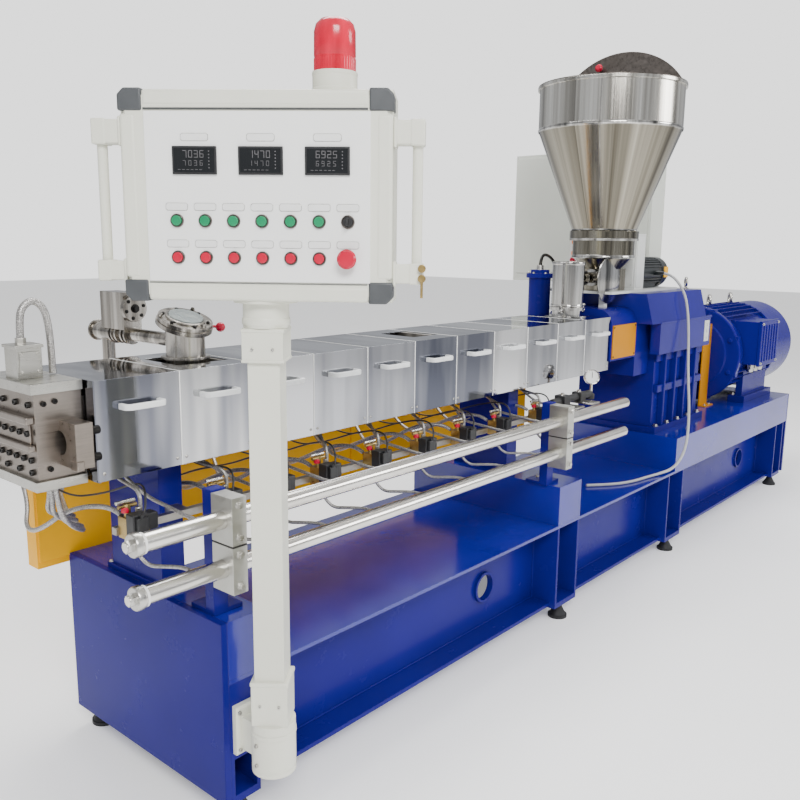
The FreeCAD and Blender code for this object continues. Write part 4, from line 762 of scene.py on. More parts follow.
def clamp_bolts():
    """Bolts and gaskets of the clamps that hold the two water pipes."""
    low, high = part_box("pipe_clamps")
    bolts = Piece()
    plates = Piece()
    for start in (low.x, high.x - 0.045):
        for base in (0.668, 0.797):
            for z in (base + 0.020, base + 0.104):
                bolts.hex_bolt((start + 0.0225, low.y, z), -BACK, 0.013)
        plates.box((start + 0.001, low.y - 0.001, 0.7925), (start + 0.044, high.y, 0.7965))
        for x in (start + 0.058, start + 0.080):
            bolts.hex_bolt((x, 0.098, 0.599), UP, 0.009)
    bolts.done("clamp_bolts", BOLT, "pipe_steel", 0.0008)
    plates.done("clamp_gaskets", SOCKET, "pipe_steel", 0)


def pipe_ends():
    """Plugs and thread tape at the die end of the water pipes."""
    low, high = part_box("water_manifolds")
    ends = Piece()
    tape = Piece()
    y = (low.y + high.y) / 2
    for z in WATER_Z:
        place = Vector((low.x + 0.020, y, z))
        ends.rod(place - ALONG * 0.018, place, 0.016, 6)
        ends.lathe([(0.0, -0.004), (0.0275, -0.004), (0.0295, 0.0), (0.0295, 0.014), (0.0245, 0.017)],
                   place, ALONG, 40)
        tape.lathe([(0.0235, 0.0), (0.0262, 0.001), (0.0262, 0.007), (0.0235, 0.008)],
                   (low.x + 0.038, y, z), ALONG, 40)
    ends.done("manifold_plugs", BOLT, "pipe_steel", 0.001)
    tape.done("thread_tape", LABEL, "pipe_steel", 0)


def gauge():
    """Pressure gauge and pump fittings past the second clamp."""
    fittings = Piece()
    fittings.rod((1.70, 0.075, 0.905), (2.02, 0.075, 0.905), 0.016, 20)
    fittings.box((1.76, 0.050, 0.885), (1.81, 0.100, 0.928))
    fittings.box((1.90, 0.052, 0.887), (1.945, 0.098, 0.925))
    fittings.rod((1.70, 0.075, 0.905), (1.70, 0.075, 0.840), 0.010, 16)
    fittings.rod((2.02, 0.075, 0.905), (2.02, 0.075, 0.880), 0.020, 20)
    fittings.done("water_fittings", BLACK, "pipe_steel", 0.003, 3)
    brackets = Piece()
    brackets.box((1.74, -0.006, 0.8795), (1.83, 0.10, 0.8855))
    brackets.box((1.89, -0.006, 0.8795), (1.96, 0.10, 0.8875))
    brackets.rod((2.02, 0.070, 0.902), (2.02, 0.070, 0.95), 0.006, 16)
    brackets.hex_bolt((1.785, 0.075, 0.928), UP, 0.012)
    brackets.hex_bolt((1.922, 0.075, 0.925), UP, 0.012)
    brackets.done("water_brackets", PIPE, "pipe_steel", 0.001)
    face = Vector((-0.75, -0.62, 0.15)).normalized()
    centre = Vector((2.02, 0.070, 0.978))
    dial = Piece()
    dial.lathe([(0.0, -0.016), (0.030, -0.016), (0.033, -0.012), (0.033, 0.012), (0.031, 0.015),
                (0.028, 0.012),
                (0.028, 0.009), (0.0, 0.009)], centre, face, 40)
    dial.done("gauge_case", PIPE, "pipe_steel", 0)
    glass = Piece()
    glass.lathe([(0.0, 0.0095), (0.0278, 0.0095), (0.0278, 0.0105), (0.0, 0.011)], centre, face, 40)
    glass.done("gauge_face", LABEL, "pipe_steel", 0)
    needle = Piece(facing(face, centre))
    needle.box((-0.001, -0.004, 0.0115), (0.001, 0.021, 0.0122))
    for i in range(9):
        angle = math.radians(-135 + 270 * i / 8)
        needle.rod((0.022 * math.sin(angle), 0.022 * math.cos(angle), 0.0112),
                   (0.026 * math.sin(angle), 0.026 * math.cos(angle), 0.0112), 0.0005, 6)
    needle.done("gauge_needle", BLACK, "pipe_steel", 0)


# ---------------------------------------------------------------- drive

def drive_parts():
    """Ribs, end shield and fan cowl of the main motor, then what stands on it and beside it."""
    low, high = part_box("motor_body")
    shaft = Vector((0, CENTRE_Y, DRIVE_Z))
    start, end = low.x + 0.050 + 0.004, high.x - 0.004
    ribs = Piece()
    for i in range(44):
        out = Vector((0, *polar(1, 360 * i / 44 + 4)))
        if out.z < -0.62 or (out.y < -0.7 and -0.25 < out.z < 0.8):    # the feet and the terminal box
            continue
        inner = shaft + out * 0.255
        outer = shaft + out * 0.288
        side = out.cross(ALONG) * 0.0028
        corners = [inner - side, outer - side * 0.6, outer + side * 0.6, inner + side]
        ribs.loft([(start, corner.y, corner.z) for corner in corners],
                  [(end, corner.y, corner.z) for corner in corners])
    ribs.done("motor_ribs", BLUE, "blue_paint", 0)
    shield = Piece()
    centre = Vector((low.x, CENTRE_Y, DRIVE_Z))
    shield.lathe([(0.10, -0.008), (0.205, -0.008), (0.215, 0.001)], centre, ALONG, 64)
    shield.lathe([(0.2855, 0.006), (0.290, 0.010), (0.290, 0.040), (0.2855, 0.046)], centre, ALONG, 96)
    for i in range(8):
        out = Vector((0, *polar(1, 45 * i + 22.5)))
        shield.hex_bolt(centre + out * 0.25, -ALONG, 0.018)
        lug = centre + out * 0.278
        shield.box(lug + Vector((0.006, -0.016, -0.016)), lug + Vector((0.046, 0.016, 0.016)))
    shield.done("motor_shield_parts", BLUE, "blue_paint", 0.003)
    cowl_low, cowl_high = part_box("motor_fan_cowl")
    cowl = Piece()
    rear = Vector((cowl_high.x, CENTRE_Y, DRIVE_Z))
    for radius in (0.06, 0.095, 0.13, 0.165, 0.20):
        inside, outside = radius - 0.004, radius + 0.004
        cowl.lathe([(inside, 0.0), (inside, 0.0012), (outside, 0.0012), (outside, 0.0)], rear, ALONG, 64)
    for i in range(8):
        out = Vector((0, *polar(1, 45 * i)))
        cowl.rod(rear + out * 0.05, rear + out * 0.205, 0.0018, 8)
    cowl.lathe([(0.278, 0.0), (0.2805, 0.002), (0.2805, 0.020), (0.278, 0.022)],
               (cowl_low.x, CENTRE_Y, DRIVE_Z), ALONG, 96)
    cowl.done("fan_grille", BLUE, "blue_paint", 0.001)
    terminal_parts(*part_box("motor_terminal_box"))
    eyebolts()
    coupling_parts()


def terminal_parts(low, high):
    """Lid, bolts and cable glands of the motor's terminal box."""
    lid = Piece()
    lid.box((low.x - 0.006, low.y - 0.008, low.z - 0.006), (high.x + 0.006, low.y + 0.012, high.z + 0.006))
    for i in range(6):
        x = low.x + 0.03 + i * (high.x - low.x - 0.06) / 5
        lid.box((x - 0.005, low.y - 0.013, low.z + 0.02), (x + 0.005, low.y - 0.007, high.z - 0.02))
    lid.done("terminal_lid", BLUE, "blue_paint", 0.004, 3)
    bolts = Piece()
    for x in (low.x + 0.012, high.x - 0.012):
        for z in (low.z + 0.012, high.z - 0.012):
            bolts.hex_bolt((x, low.y - 0.008, z), -BACK, 0.010)
    for x in (low.x + 0.07, low.x + 0.15, low.x + 0.23):
        bolts.rod((x, low.y + 0.07, low.z - 0.035), (x, low.y + 0.07, low.z), 0.024, 6)
        bolts.lathe([(0.019, -0.052), (0.021, -0.035)], (x, low.y + 0.07, low.z), UP, 20)
    bolts.done("terminal_glands", BOLT, "blue_paint", 0.001)


def eyebolt(piece, place, size):
    """A lifting eye that stands on a face."""
    place = Vector(place)
    piece.lathe([(size * 0.75, 0.0), (size * 0.75, size * 0.25), (size * 0.4, size * 0.5),
                 (size * 0.32, size * 0.9)],
                place, UP, 20)
    centre = place + UP * size * 1.75
    sides = 28
    wire_sides = 12
    turn = Matrix.Rotation(math.radians(35), 3, "Z")
    rings = []
    for i in range(sides):
        angle = 2 * math.pi * i / sides
        out = turn @ Vector((math.cos(angle), 0, math.sin(angle)))
        across = turn @ BACK
        hub = centre + out * size
        rings.append([piece.mesh.verts.new(hub + (out * math.cos(a) + across * math.sin(a)) * size * 0.3)
                      for a in (2 * math.pi * k / wire_sides for k in range(wire_sides))])
    for this, other in zip(rings, rings[1:] + rings[:1]):
        for k in range(wire_sides):
            j = (k + 1) % wire_sides
            piece.mesh.faces.new([this[k], other[k], other[j], this[j]])


def eyebolts():
    """Lifting eyes on the gearbox's hood and the motor."""
    motor_low, motor_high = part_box("motor_body")
    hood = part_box("gearbox_hood")[1]
    eyes = Piece()
    eyebolt(eyes, (hood.x - 0.10, 0.20, hood.z), 0.022)
    for x in (motor_low.x + 0.22, motor_high.x - 0.12):
        eyebolt(eyes, (x, CENTRE_Y, 1.157), 0.030)
    eyes.done("lifting_eyes", BOLT, "blue_paint", 0)


def coupling_parts():
    """Rings of the coupling and screws of its guard."""
    centre = Vector((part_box("drive_coupling")[0].x, CENTRE_Y, DRIVE_Z))
    rings = Piece()
    for x in (0.02, 0.13, 0.23, 0.25, 0.38):
        radius = 0.118 if x > 0.2 else 0.108
        rings.lathe([(0.10, -0.008), (radius, -0.006), (radius, 0.006), (0.10, 0.008)],
                    centre + ALONG * x, ALONG, 48)
    rings.done("coupling_rings", DIE, "die_steel", 0.001)
    guard_low, guard_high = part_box("coupling_guard")
    screws = Piece()
    for y in (guard_low.y + 0.018, guard_high.y - 0.018):
        for x in (guard_low.x + 0.025, guard_high.x - 0.025):
            screws.hex_bolt((x, y, guard_low.z + 0.006), UP, 0.010)
    screws.done("guard_screws", BOLT, "yellow_paint", 0)


def gearbox_parts():
    """Ribs, foot bolts, badge rivets, hood and filter fittings of the gearbox."""
    low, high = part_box("gearbox_housing")
    hood_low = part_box("gearbox_hood")[0]
    front = low.y + 0.035
    ribs = Piece()
    for i in range(4):
        x = low.x + 0.10 + i * 0.13
        ribs.box((x - 0.008, front - 0.030, BOX_FOOT_Z), (x + 0.008, front + 0.002, 1.0))
    ribs.box((low.x + 0.03, front - 0.022, 0.80), (high.x - 0.03, front + 0.002, 0.84))
    ribs.box((low.x + 0.02, front - 0.014, 0.96), (high.x - 0.02, front + 0.002, 1.0))
    ribs.done("gearbox_ribs", BLUE, "blue_paint", 0.004, 3)
    bolts = Piece()
    for i in range(5):
        x = low.x + 0.045 + i * (high.x - low.x - 0.09) / 4
        for y in (low.y + 0.018, high.y - 0.018):
            bolts.hex_bolt((x, y, BOX_FOOT_Z), UP, 0.016)
    bolts.done("gearbox_foot_bolts", BOLT, "blue_paint", 0.001)
    badge_low, badge_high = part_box("blank_badge")
    rivets = Piece()
    for x in (badge_low.x + 0.010, badge_high.x - 0.010):
        for z in (badge_low.z + 0.010, badge_high.z - 0.010):
            rivets.lathe([(0.005, 0), (0.004, 0.002), (0, 0.003)], (x, badge_low.y, z), -BACK, 14)
    rivets.done("badge_rivets", DARK_BOLT, "yellow_paint", 0)
    seam = Piece()
    seam.box((2.741, hood_low.y - 0.002, 1.160), (high.x - 0.01, hood_low.y + 0.003, 1.170))
    seam.done("hood_seam", HOOD_BLUE, "blue_paint", 0.001)
    vents = Piece()
    vents.box((high.x - 0.105, hood_low.y - 0.004, 1.03), (high.x - 0.045, hood_low.y + 0.001, 1.145))
    for i in range(3):
        z = 1.050 + 0.035 * i
        vents.rod((high.x - 0.075, hood_low.y - 0.005, z), (high.x - 0.075, hood_low.y - 0.009, z), 0.008, 16)
    vents.done("hood_vent_plate", HOUSING, "blue_paint", 0.0015)
    filter_low, filter_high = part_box("oil_filter")
    centre = Vector(((filter_low.x + filter_high.x) / 2, filter_high.y - 0.068, 0))
    cap = Piece()
    for i in range(6):
        cap.hex_bolt(centre + Vector((*polar(0.058, 60 * i), 1.402)), UP, 0.009)
    cap.lathe([(0.0, 0.022), (0.016, 0.022), (0.018, 0.0), (0.03, -0.004)], centre + UP * 1.420, UP, 24)
    cap.done("filter_cap", BOLT, "dark_paint", 0.001)
    line("filter_pipe", [(centre.x, centre.y, 1.43), (centre.x, centre.y, 1.47),
                         (centre.x + 0.05, centre.y + 0.01, 1.50),
                         (centre.x + 0.16, centre.y + 0.02, 1.47), (centre.x + 0.20, centre.y, 1.36),
                         (centre.x + 0.21, centre.y - 0.05, 1.24)], 0.008, DARK_BOLT)


# ---------------------------------------------------------------- feeder and hopper

def feeder_parts():
    """Doors, motor fins and switch-box lamps of the feeder, then its bowl, hopper and cabinet."""
    low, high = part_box("feeder_housing")
    front = Piece()
    front.box((low.x - 0.004, low.y + 0.01, low.z + 0.012), (low.x + 0.001, low.y + 0.21, high.z - 0.012))
    front.box((low.x + 0.008, low.y - 0.004, low.z + 0.010), (high.x - 0.008, low.y + 0.001, high.z - 0.010))
    front.done("housing_doors", HOUSING, "grey_box", 0.002)
    screws = Piece()
    for y in (low.y + 0.018, low.y + 0.20):
        for z in (low.z + 0.022, high.z - 0.022):
            screws.socket_bolt((low.x - 0.004, y, z), -ALONG, 0.004)
    screws.done("housing_screws", BOLT, "grey_box", 0)
    motor_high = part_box("feeder_motor")[1]
    axis = Vector((0, CENTRE_Y, motor_high.z - 0.075))
    fins = Piece()
    for i in range(30):
        out = Vector((0, *polar(1, 12 * i)))
        if out.z < -0.7 or (out.y < -0.75 and abs(out.z) < 0.35):
            continue
        start = axis + out * 0.0785 + ALONG * (high.x + 0.045)
        end = axis + out * 0.0785 + ALONG * (motor_high.x - 0.075)
        fins.rod(start, end, 0.0042, 6)
    fins.lathe([(0.0755, 0.0), (0.0815, 0.002), (0.0815, 0.060), (0.0755, 0.066)],
               axis + ALONG * (motor_high.x - 0.068), ALONG, 48)
    fins.lathe([(0.075, 0.0), (0.088, 0.0), (0.088, 0.016), (0.075, 0.02)], axis + ALONG * (high.x + 0.004),
               ALONG, 48)
    fins.done("feeder_motor_fins", MOTOR_BLACK, "dark_paint", 0.0008)
    tag = Piece()
    tag.box((motor_high.x - 0.058, axis.y - 0.084, axis.z - 0.026),
            (motor_high.x - 0.012, axis.y - 0.079, axis.z + 0.030))
    tag.done("blank_motor_tag", YELLOW, "yellow_paint", 0.0008)
    switch_low, switch_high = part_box("feeder_switch_box")
    lamps = Piece()
    middle = (switch_low.y + switch_high.y) / 2
    for z in (switch_high.z - 0.030, switch_low.z + 0.062):
        lamps.lathe([(0.0, 0.010), (0.016, 0.009), (0.019, 0.0)], (switch_low.x, middle, z), -ALONG, 24)
    lamps.done("switch_lamps", ORANGE, "grey_box", 0)
    stop = Piece()
    stop.lathe([(0.0, 0.034), (0.014, 0.032), (0.018, 0.024), (0.014, 0.016), (0.009, 0.014), (0.009, 0.0)],
               (switch_low.x, middle - 0.004, switch_low.z + 0.024), -ALONG, 24)
    stop.done("switch_stop", RED, "grey_box", 0)
    bowl_parts()
    hopper_parts()
    cabinet_parts()


def bowl_parts():
    """Hoops and bolts of the feed bowl, its round side cover and its spout's collars."""
    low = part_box("feeder_bowl")[0]
    axis = Vector((*HOPPER_AXIS, 0))
    flange_x = 2.484
    hoops = Piece()
    hoops.lathe([(0.150, 1.498), (0.153, 1.494), (0.153, 1.484), (0.146, 1.480)], axis, UP, 72)
    hoops.lathe([(0.150, 1.567), (0.167, 1.566), (0.168, 1.577), (0.150, 1.578)], axis, UP, 72)
    for i in range(12):
        hoops.hex_bolt(axis + Vector((*polar(0.158, 30 * i + 10), 1.612)), UP, 0.0075)
    hoops.lathe([(0.112, 0.0), (0.112, 0.004), (0.070, 0.010), (0.0, 0.010)],
                (low.x + 0.165, CENTRE_Y - 0.085, 1.378), -BACK, 40)
    for x, radius, thick in ((2.40, 0.0365, 0.010), (flange_x, 0.041, 0.012)):
        hoops.lathe([(0.0275, 0.0), (radius, 0.0), (radius, thick), (0.0275, thick)],
                    (x, CENTRE_Y, SPOUT_Z), ALONG, 36)
    for i in range(4):
        y, z = polar(0.034, 90 * i + 45)
        hoops.hex_bolt((flange_x, CENTRE_Y + y, SPOUT_Z + z), -ALONG, 0.005)
    hoops.done("bowl_hoops", STACK, "hopper_steel", 0.0008)


def hopper_parts():
    """Seams at the top and foot of the hopper's cone, and the weld up the side that faces the die end."""
    axis = Vector((*HOPPER_AXIS, 0))
    seams = Piece()
    seams.lathe([(0.3395, 2.080), (0.342, 2.084), (0.342, 2.092), (0.3395, 2.096)], axis, UP, 96)
    seams.lathe([(0.154, 1.613), (0.158, 1.616), (0.158, 1.624), (0.159, 1.630)], axis, UP, 72)
    seams.done("hopper_seams", STACK, "hopper_steel", 0)
    weld = Piece()
    out = Vector((*polar(1, 200), 0))
    weld.rod(axis + out * 0.3405 + UP * 2.094, axis + out * 0.3405 + UP * 2.272, 0.0018, 8)
    weld.rod(axis + out * 0.1575 + UP * 1.628, axis + out * 0.3385 + UP * 2.084, 0.0018, 8)
    weld.done("hopper_weld", STACK, "hopper_steel", 0)
    flap_parts()


def flap_parts():
    """Knob on the flap, which stands open, and screws through the hinge leaves."""
    about = Matrix.Rotation(math.radians(10), 4, "Z") @ Matrix.Rotation(-math.radians(82), 4, "Y")
    flap = Matrix.Translation(joint_place("hopper_lid_hinge")) @ about
    top = -0.007
    knob = Piece(flap, "hopper_lid")
    knob.rod((0.11, 0.12, top), (0.11, 0.12, top + 0.016), 0.006, 14)
    knob.lathe([(0.0, 0.046), (0.012, 0.044), (0.019, 0.032), (0.016, 0.020), (0.007, 0.014)],
               (0.11, 0.12, top), UP, 24)
    knob.done("flap_knob", RED, "lid_steel", 0)
    hem = Piece(flap, "hopper_lid")
    for y in (-0.17, 0.17):
        for side in (-0.024, 0.024):
            hem.socket_bolt((0.022, y + side, top + 0.003), UP, 0.003)
    hem.done("flap_screws", BOLT, "lid_steel", 0)


def cabinet_parts():
    """Doors, hinges, locks and sill of the rear cabinet."""
    low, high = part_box("rear_cabinet")
    base = 1.352
    door = Piece()
    door.box((low.x - 0.004, low.y + 0.018, base + 0.018), (low.x + 0.001, low.y + 0.438, high.z - 0.018))
    door.box((low.x - 0.004, low.y + 0.452, base + 0.018), (low.x + 0.001, high.y - 0.018, high.z - 0.018))
    door.box((high.x - 0.001, low.y + 0.03, base + 0.03), (high.x + 0.003, high.y - 0.03, high.z - 0.03))
    for z in (base + 0.10, high.z - 0.10):
        door.rod((low.x - 0.006, low.y + 0.445, z - 0.02), (low.x - 0.006, low.y + 0.445, z + 0.02), 0.005,
                 12)
    door.done("cabinet_doors", CABINET, "cabinet_paint", 0.003, 3)
    locks = Piece()
    for y in (low.y + 0.405, low.y + 0.485):
        locks.box((low.x - 0.012, y - 0.010, base + 0.33), (low.x - 0.003, y + 0.010, base + 0.42))
    locks.done("cabinet_locks", CAP, "cabinet_paint", 0.003)
    rail = Piece()
    rail.box((low.x - 0.003, low.y - 0.002, 1.324), (high.x + 0.003, low.y + 0.004, 1.352))
    rail.done("cabinet_sill", HOUSING, "cabinet_paint", 0.0015)


# ---------------------------------------------------------------- control panel

PANEL_TURN = -52.5             # degrees from the front, towards the die end
POST = joint_place("panel_swivel")
PANEL_FRAME = Matrix.Translation((POST.x, POST.y, 0)) @ Matrix.Rotation(math.radians(PANEL_TURN), 4, "Z")
PANEL_FRONT = -0.080           # front face and half width, in the panel's own frame
PANEL_HALF = 0.300
PANEL_LOW = 1.413              # heights of its foot and top, and of the meters' middles
PANEL_HIGH = 1.868
METER_ROW = 1.718


def on_panel():
    return Piece(PANEL_FRAME, "panel")


def panel_parts():
    """Face, frame, corner caps and back door of the control panel."""
    plate = on_panel()
    plate.box((-0.245, PANEL_FRONT - 0.0030, 1.456), (0.252, PANEL_FRONT + 0.001, 1.822))
    plate.done("panel_face", PLATE, "panel_paint", 0.0012)
    caps = on_panel()
    outline = [(0.014, 0.0), (0.054, 0.0), (0.054, 0.048), (0.0, 0.048), (0.0, 0.014)]
    for x, z, sx, sz in ((-PANEL_HALF, PANEL_LOW, 1, 1), (PANEL_HALF, PANEL_LOW, -1, 1),
                         (-PANEL_HALF, PANEL_HIGH, 1, -1), (PANEL_HALF, PANEL_HIGH, -1, -1)):
        corner = Vector((x - sx * 0.0025, PANEL_FRONT - 0.0035, z - sz * 0.0025))
        caps.prism(outline, corner, (sx, 0, 0), (0, 0, sz), (0, 0.052, 0))
    caps.done("panel_corner_caps", CAP, "panel_paint", 0.004, 3)
    frame_bars = on_panel()
    for z in (PANEL_LOW, PANEL_HIGH):
        inward = 1 if z == PANEL_LOW else -1
        frame_bars.box((-PANEL_HALF + 0.05, PANEL_FRONT - 0.0015, min(z, z + inward * 0.036)),
                       (PANEL_HALF - 0.05, PANEL_FRONT + 0.02, max(z, z + inward * 0.036)))
    for x in (-PANEL_HALF, PANEL_HALF):
        inward = 1 if x < 0 else -1
        frame_bars.box((min(x, x + inward * 0.036), PANEL_FRONT - 0.0015, PANEL_LOW + 0.05),
                       (max(x, x + inward * 0.036), PANEL_FRONT + 0.02, PANEL_HIGH - 0.05))
    frame_bars.done("panel_frame_bars", PANEL, "panel_paint", 0.008, 4)
    grooves = on_panel()
    for z in (PANEL_HIGH - 0.040, PANEL_HIGH - 0.0425, PANEL_LOW + 0.040):
        grooves.box((-0.246, PANEL_FRONT - 0.0022, z - 0.0008), (0.246, PANEL_FRONT + 0.001, z + 0.0008))
    grooves.done("panel_grooves", CAP, "panel_paint", 0)
    meters()
    buttons()
    grips()
    back = on_panel()
    back.box((-0.262, 0.079, 1.452), (0.262, 0.083, 1.829))
    for z in (1.50, 1.78):
        back.box((0.262, 0.070, z - 0.025), (0.272, 0.084, z + 0.025))
    back.done("panel_back_door", PANEL, "panel_paint", 0.0015)


def meters():
    """Three meters with blank labels; their digits are plain numbers."""
    bezels, screens, digits, labels, rims = pieces(5, PANEL_FRAME, "panel")
    face = PANEL_FRONT - 0.003
    for x in (-0.1335, 0.0125, 0.1585):
        z = METER_ROW
        bezels.box((x - 0.0490, face - 0.006, z - 0.0300), (x + 0.0490, face + 0.001, z + 0.0300))
        screens.box((x - 0.0445, face - 0.0068, z - 0.0255), (x + 0.0445, face - 0.0055, z + 0.0255))
        for row, height in ((0.013, 0.014), (-0.006, 0.010)):
            for i in range(4):
                left = x - 0.024 + i * 0.0125
                seven_segment(digits, left, face - 0.0074, z + row, height, (i * 3 + round(x * 100)) % 10)
        for i in range(6):
            digits.rod((x + 0.033, face - 0.0074, z + 0.019 - 0.007 * i),
                       (x + 0.033, face - 0.0062, z + 0.019 - 0.007 * i),
                       0.0014, 10)
            left = x - 0.036 + i * 0.0095
            digits.box((left, face - 0.0074, z - 0.0205), (left + 0.006, face - 0.0066, z - 0.0195))
        label_plate(labels, rims, x, face, z + 0.049, 0.030)
    bezels.done("meter_bezels", BLACK, "panel_paint", 0.0012)
    screens.done("meter_screens", SCREEN, "panel_paint", 0)
    digits.done("meter_numbers", DIGITS, "panel_paint", 0)
    labels.done("meter_labels", LABEL, "panel_paint", 0)
    rims.done("meter_label_rims", BOLT, "panel_paint", 0)


def label_plate(plates, rims, x, face, z, half):
    """A small blank plate with cut corners on a slightly larger metal rim."""
    for piece, grow, front in ((rims, 0.0008, 0.0008), (plates, 0.0, 0.0012)):
        wide = half + grow
        tall = 0.0075 + grow
        cut = 0.0035
        outline = [(wide - cut, -tall), (wide, -tall + cut), (wide, tall - cut), (wide - cut, tall),
                   (cut - wide, tall), (-wide, tall - cut), (-wide, cut - tall), (cut - wide, -tall)]
        piece.prism(outline, (x, face - front, z), (1, 0, 0), (0, 0, 1), (0, front, 0))


SEGMENTS = {0: "abcdef", 1: "bc", 2: "abged", 3: "abgcd", 4: "fgbc", 5: "afgcd", 6: "afgedc", 7: "abc",
            8: "abcdefg", 9: "abcdfg"}


def seven_segment(piece, left, y, middle, height, value):
    """One digit of a display, built from short bars."""
    width = height * 0.52
    bar = height * 0.10
    half = height / 2
    places = {"a": (0, half, width, 0), "b": (width, 0, 0, half), "c": (width, -half, 0, half),
              "d": (0, -half, width, 0), "e": (0, -half, 0, half), "f": (0, 0, 0, half),
              "g": (0, 0, width, 0)}
    for key in SEGMENTS[value]:
        x, z, run, rise = places[key]
        piece.box((left + x - bar / 2, y, middle + z - bar / 2),
                  (left + x + run + bar / 2, y + 0.0006, middle + z + rise + bar / 2))


def buttons():
    """Rows of green and red buttons, a switch and a stop, under blank labels."""
    face = PANEL_FRONT - 0.003
    rings, green, red, labels, dark, rims = pieces(6, PANEL_FRAME, "panel")
    out = -BACK
    ring = [(0.0120, 0.0), (0.0150, 0.0), (0.0150, 0.004), (0.0138, 0.0058), (0.0118, 0.0058),
            (0.0112, 0.003)]
    button = [(0.0112, 0.001), (0.0112, 0.0085), (0.0102, 0.0105), (0.0, 0.0112)]
    for column in range(7):
        x = -0.177 + column * 0.0633
        upper = 1.589
        lower = 1.509
        rings.lathe(ring, (x, face, upper), out, 32)
        label_plate(labels, rims, x, face, upper + 0.030, 0.024)
        label_plate(labels, rims, x, face, lower + 0.030, 0.024)
        if column < 6:
            green.lathe(button, (x, face, upper), out, 32)
            rings.lathe(ring, (x, face, lower), out, 32)
            red.lathe(button, (x, face, lower), out, 32)
        else:
            dark.lathe([(0.0112, 0.001), (0.0112, 0.007), (0.0, 0.0075)], (x, face, upper), out, 32)
            dark.box((x - 0.002, face - 0.024, upper - 0.008), (x + 0.002, face - 0.006, upper + 0.008))
            dark.lathe([(0.017, 0.0), (0.017, 0.008), (0.012, 0.012), (0.012, 0.020)], (x, face, lower),
                       out, 32)
            red.lathe([(0.012, 0.016), (0.0205, 0.018), (0.0215, 0.026), (0.017, 0.032), (0.0, 0.034)],
                      (x, face, lower), out, 36)
    rings.done("button_bezels", SHADED_LID_AND_BEZEL, "panel_paint", 0)
    green.done("green_buttons", GREEN, "panel_paint", 0)
    red.done("red_buttons", RED, "panel_paint", 0)
    labels.done("blank_labels", LABEL, "panel_paint", 0)
    dark.done("switch_parts", BLACK, "panel_paint", 0.0005)
    rims.done("blank_label_rims", BOLT, "panel_paint", 0)


def grips():
    """Rounded bracket covers and end caps on the panel's two side handles, and a hanging key ring."""
    caps = on_panel()
    middle = PANEL_FRONT + 0.012 + 0.021
    for side in (-1, 1):
        bar = side * (PANEL_HALF + 0.053)
        for low, high in ((1.457, 1.498), (1.756, 1.806)):
            caps.box((min(bar - 0.016, bar + 0.016), middle - 0.0235, low - 0.003),
                     (max(bar - 0.016, bar + 0.016), middle + 0.0235, high + 0.003))
            inner = side * PANEL_HALF
            caps.box((min(inner, bar), middle - 0.0225, low - 0.001),
                     (max(inner, bar), middle + 0.0225, high + 0.001))
            caps.box((min(inner, inner + side * 0.008), middle - 0.026, low - 0.007),
                     (max(inner, inner + side * 0.008), middle + 0.026, high + 0.007))
        caps.rod((bar, middle, 1.498), (bar, middle, 1.756), 0.0115, 28)
    caps.done("handle_sleeves", PANEL, "panel_paint", 0.006, 4)
    keys = on_panel()
    x = PANEL_HALF + 0.066
    for z in (1.490, 1.468):
        keys.lathe([(0.0, -0.001), (0.009, -0.001), (0.009, 0.001), (0.0, 0.001)], (x, middle - 0.031, z),
                   BACK, 20)
    keys.box((x - 0.003, middle - 0.032, 1.425), (x + 0.003, middle - 0.030, 1.462))
    keys.done("panel_keys", BRASS, "panel_paint", 0)


def post_parts():
    """Bands, screws and rings of the panel's post, and the rims, plate and bolts of its joint."""
    bands = Piece(PANEL_FRAME, "arm")
    for low, high, half in ((0.452, 0.464, 0.0485), (1.268, 1.276, 0.0505), (1.338, 1.3478, 0.0505)):
        bands.box((-half, -half, low), (half, half, high))
    bands.done("post_bands", PANEL, "panel_paint", 0.003, 3)
    screws = Piece(PANEL_FRAME, "arm")
    for z in (0.40, 1.30):
        for side in (-1, 1):
            screws.socket_bolt((side * 0.024, -0.0465 if z < 1 else -0.049, z), -BACK, 0.004)
    screws.done("post_screws", BOLT, "panel_paint", 0)
    collar = on_panel()
    collar.lathe([(0.054, 1.352), (0.0565, 1.356), (0.0565, 1.368), (0.054, 1.372)], Vector(), UP, 48)
    collar.lathe([(0.054, 1.404), (0.075, 1.406), (0.075, 1.4135)], Vector(), UP, 48)
    collar.done("collar_rings", PANEL, "panel_paint", 0.001)
    joint = Piece()
    centre = Vector((POST.x, POST.y, 0))
    joint.lathe([(0.0, 0.199), (0.035, 0.200), (0.054, 0.206), (0.0575, 0.214), (0.0575, 0.220)], centre,
                UP, 48)
    joint.lathe([(0.057, 0.306), (0.0585, 0.309), (0.0585, 0.318), (0.057, 0.3205)], centre, UP, 48)
    joint.done("joint_rims", PANEL, "panel_paint", 0)
    plate = Piece()
    plate.box((centre.x - 0.0455, -0.053, 0.216), (centre.x + 0.0455, -0.035, 0.351))
    plate.done("joint_plate", PANEL, "panel_paint", 0.010, 4)
    bolts = Piece()
    for x in (centre.x - 0.037, centre.x + 0.037):
        for z in (0.230, 0.336):
            bolts.socket_bolt((x, -0.053, z), -BACK, 0.006)
    for z in (0.235, 0.29):
        bolts.socket_bolt((centre.x - 0.057, centre.y, z), -ALONG, 0.006)
    bolts.done("joint_bolts", BOLT, "panel_paint", 0)


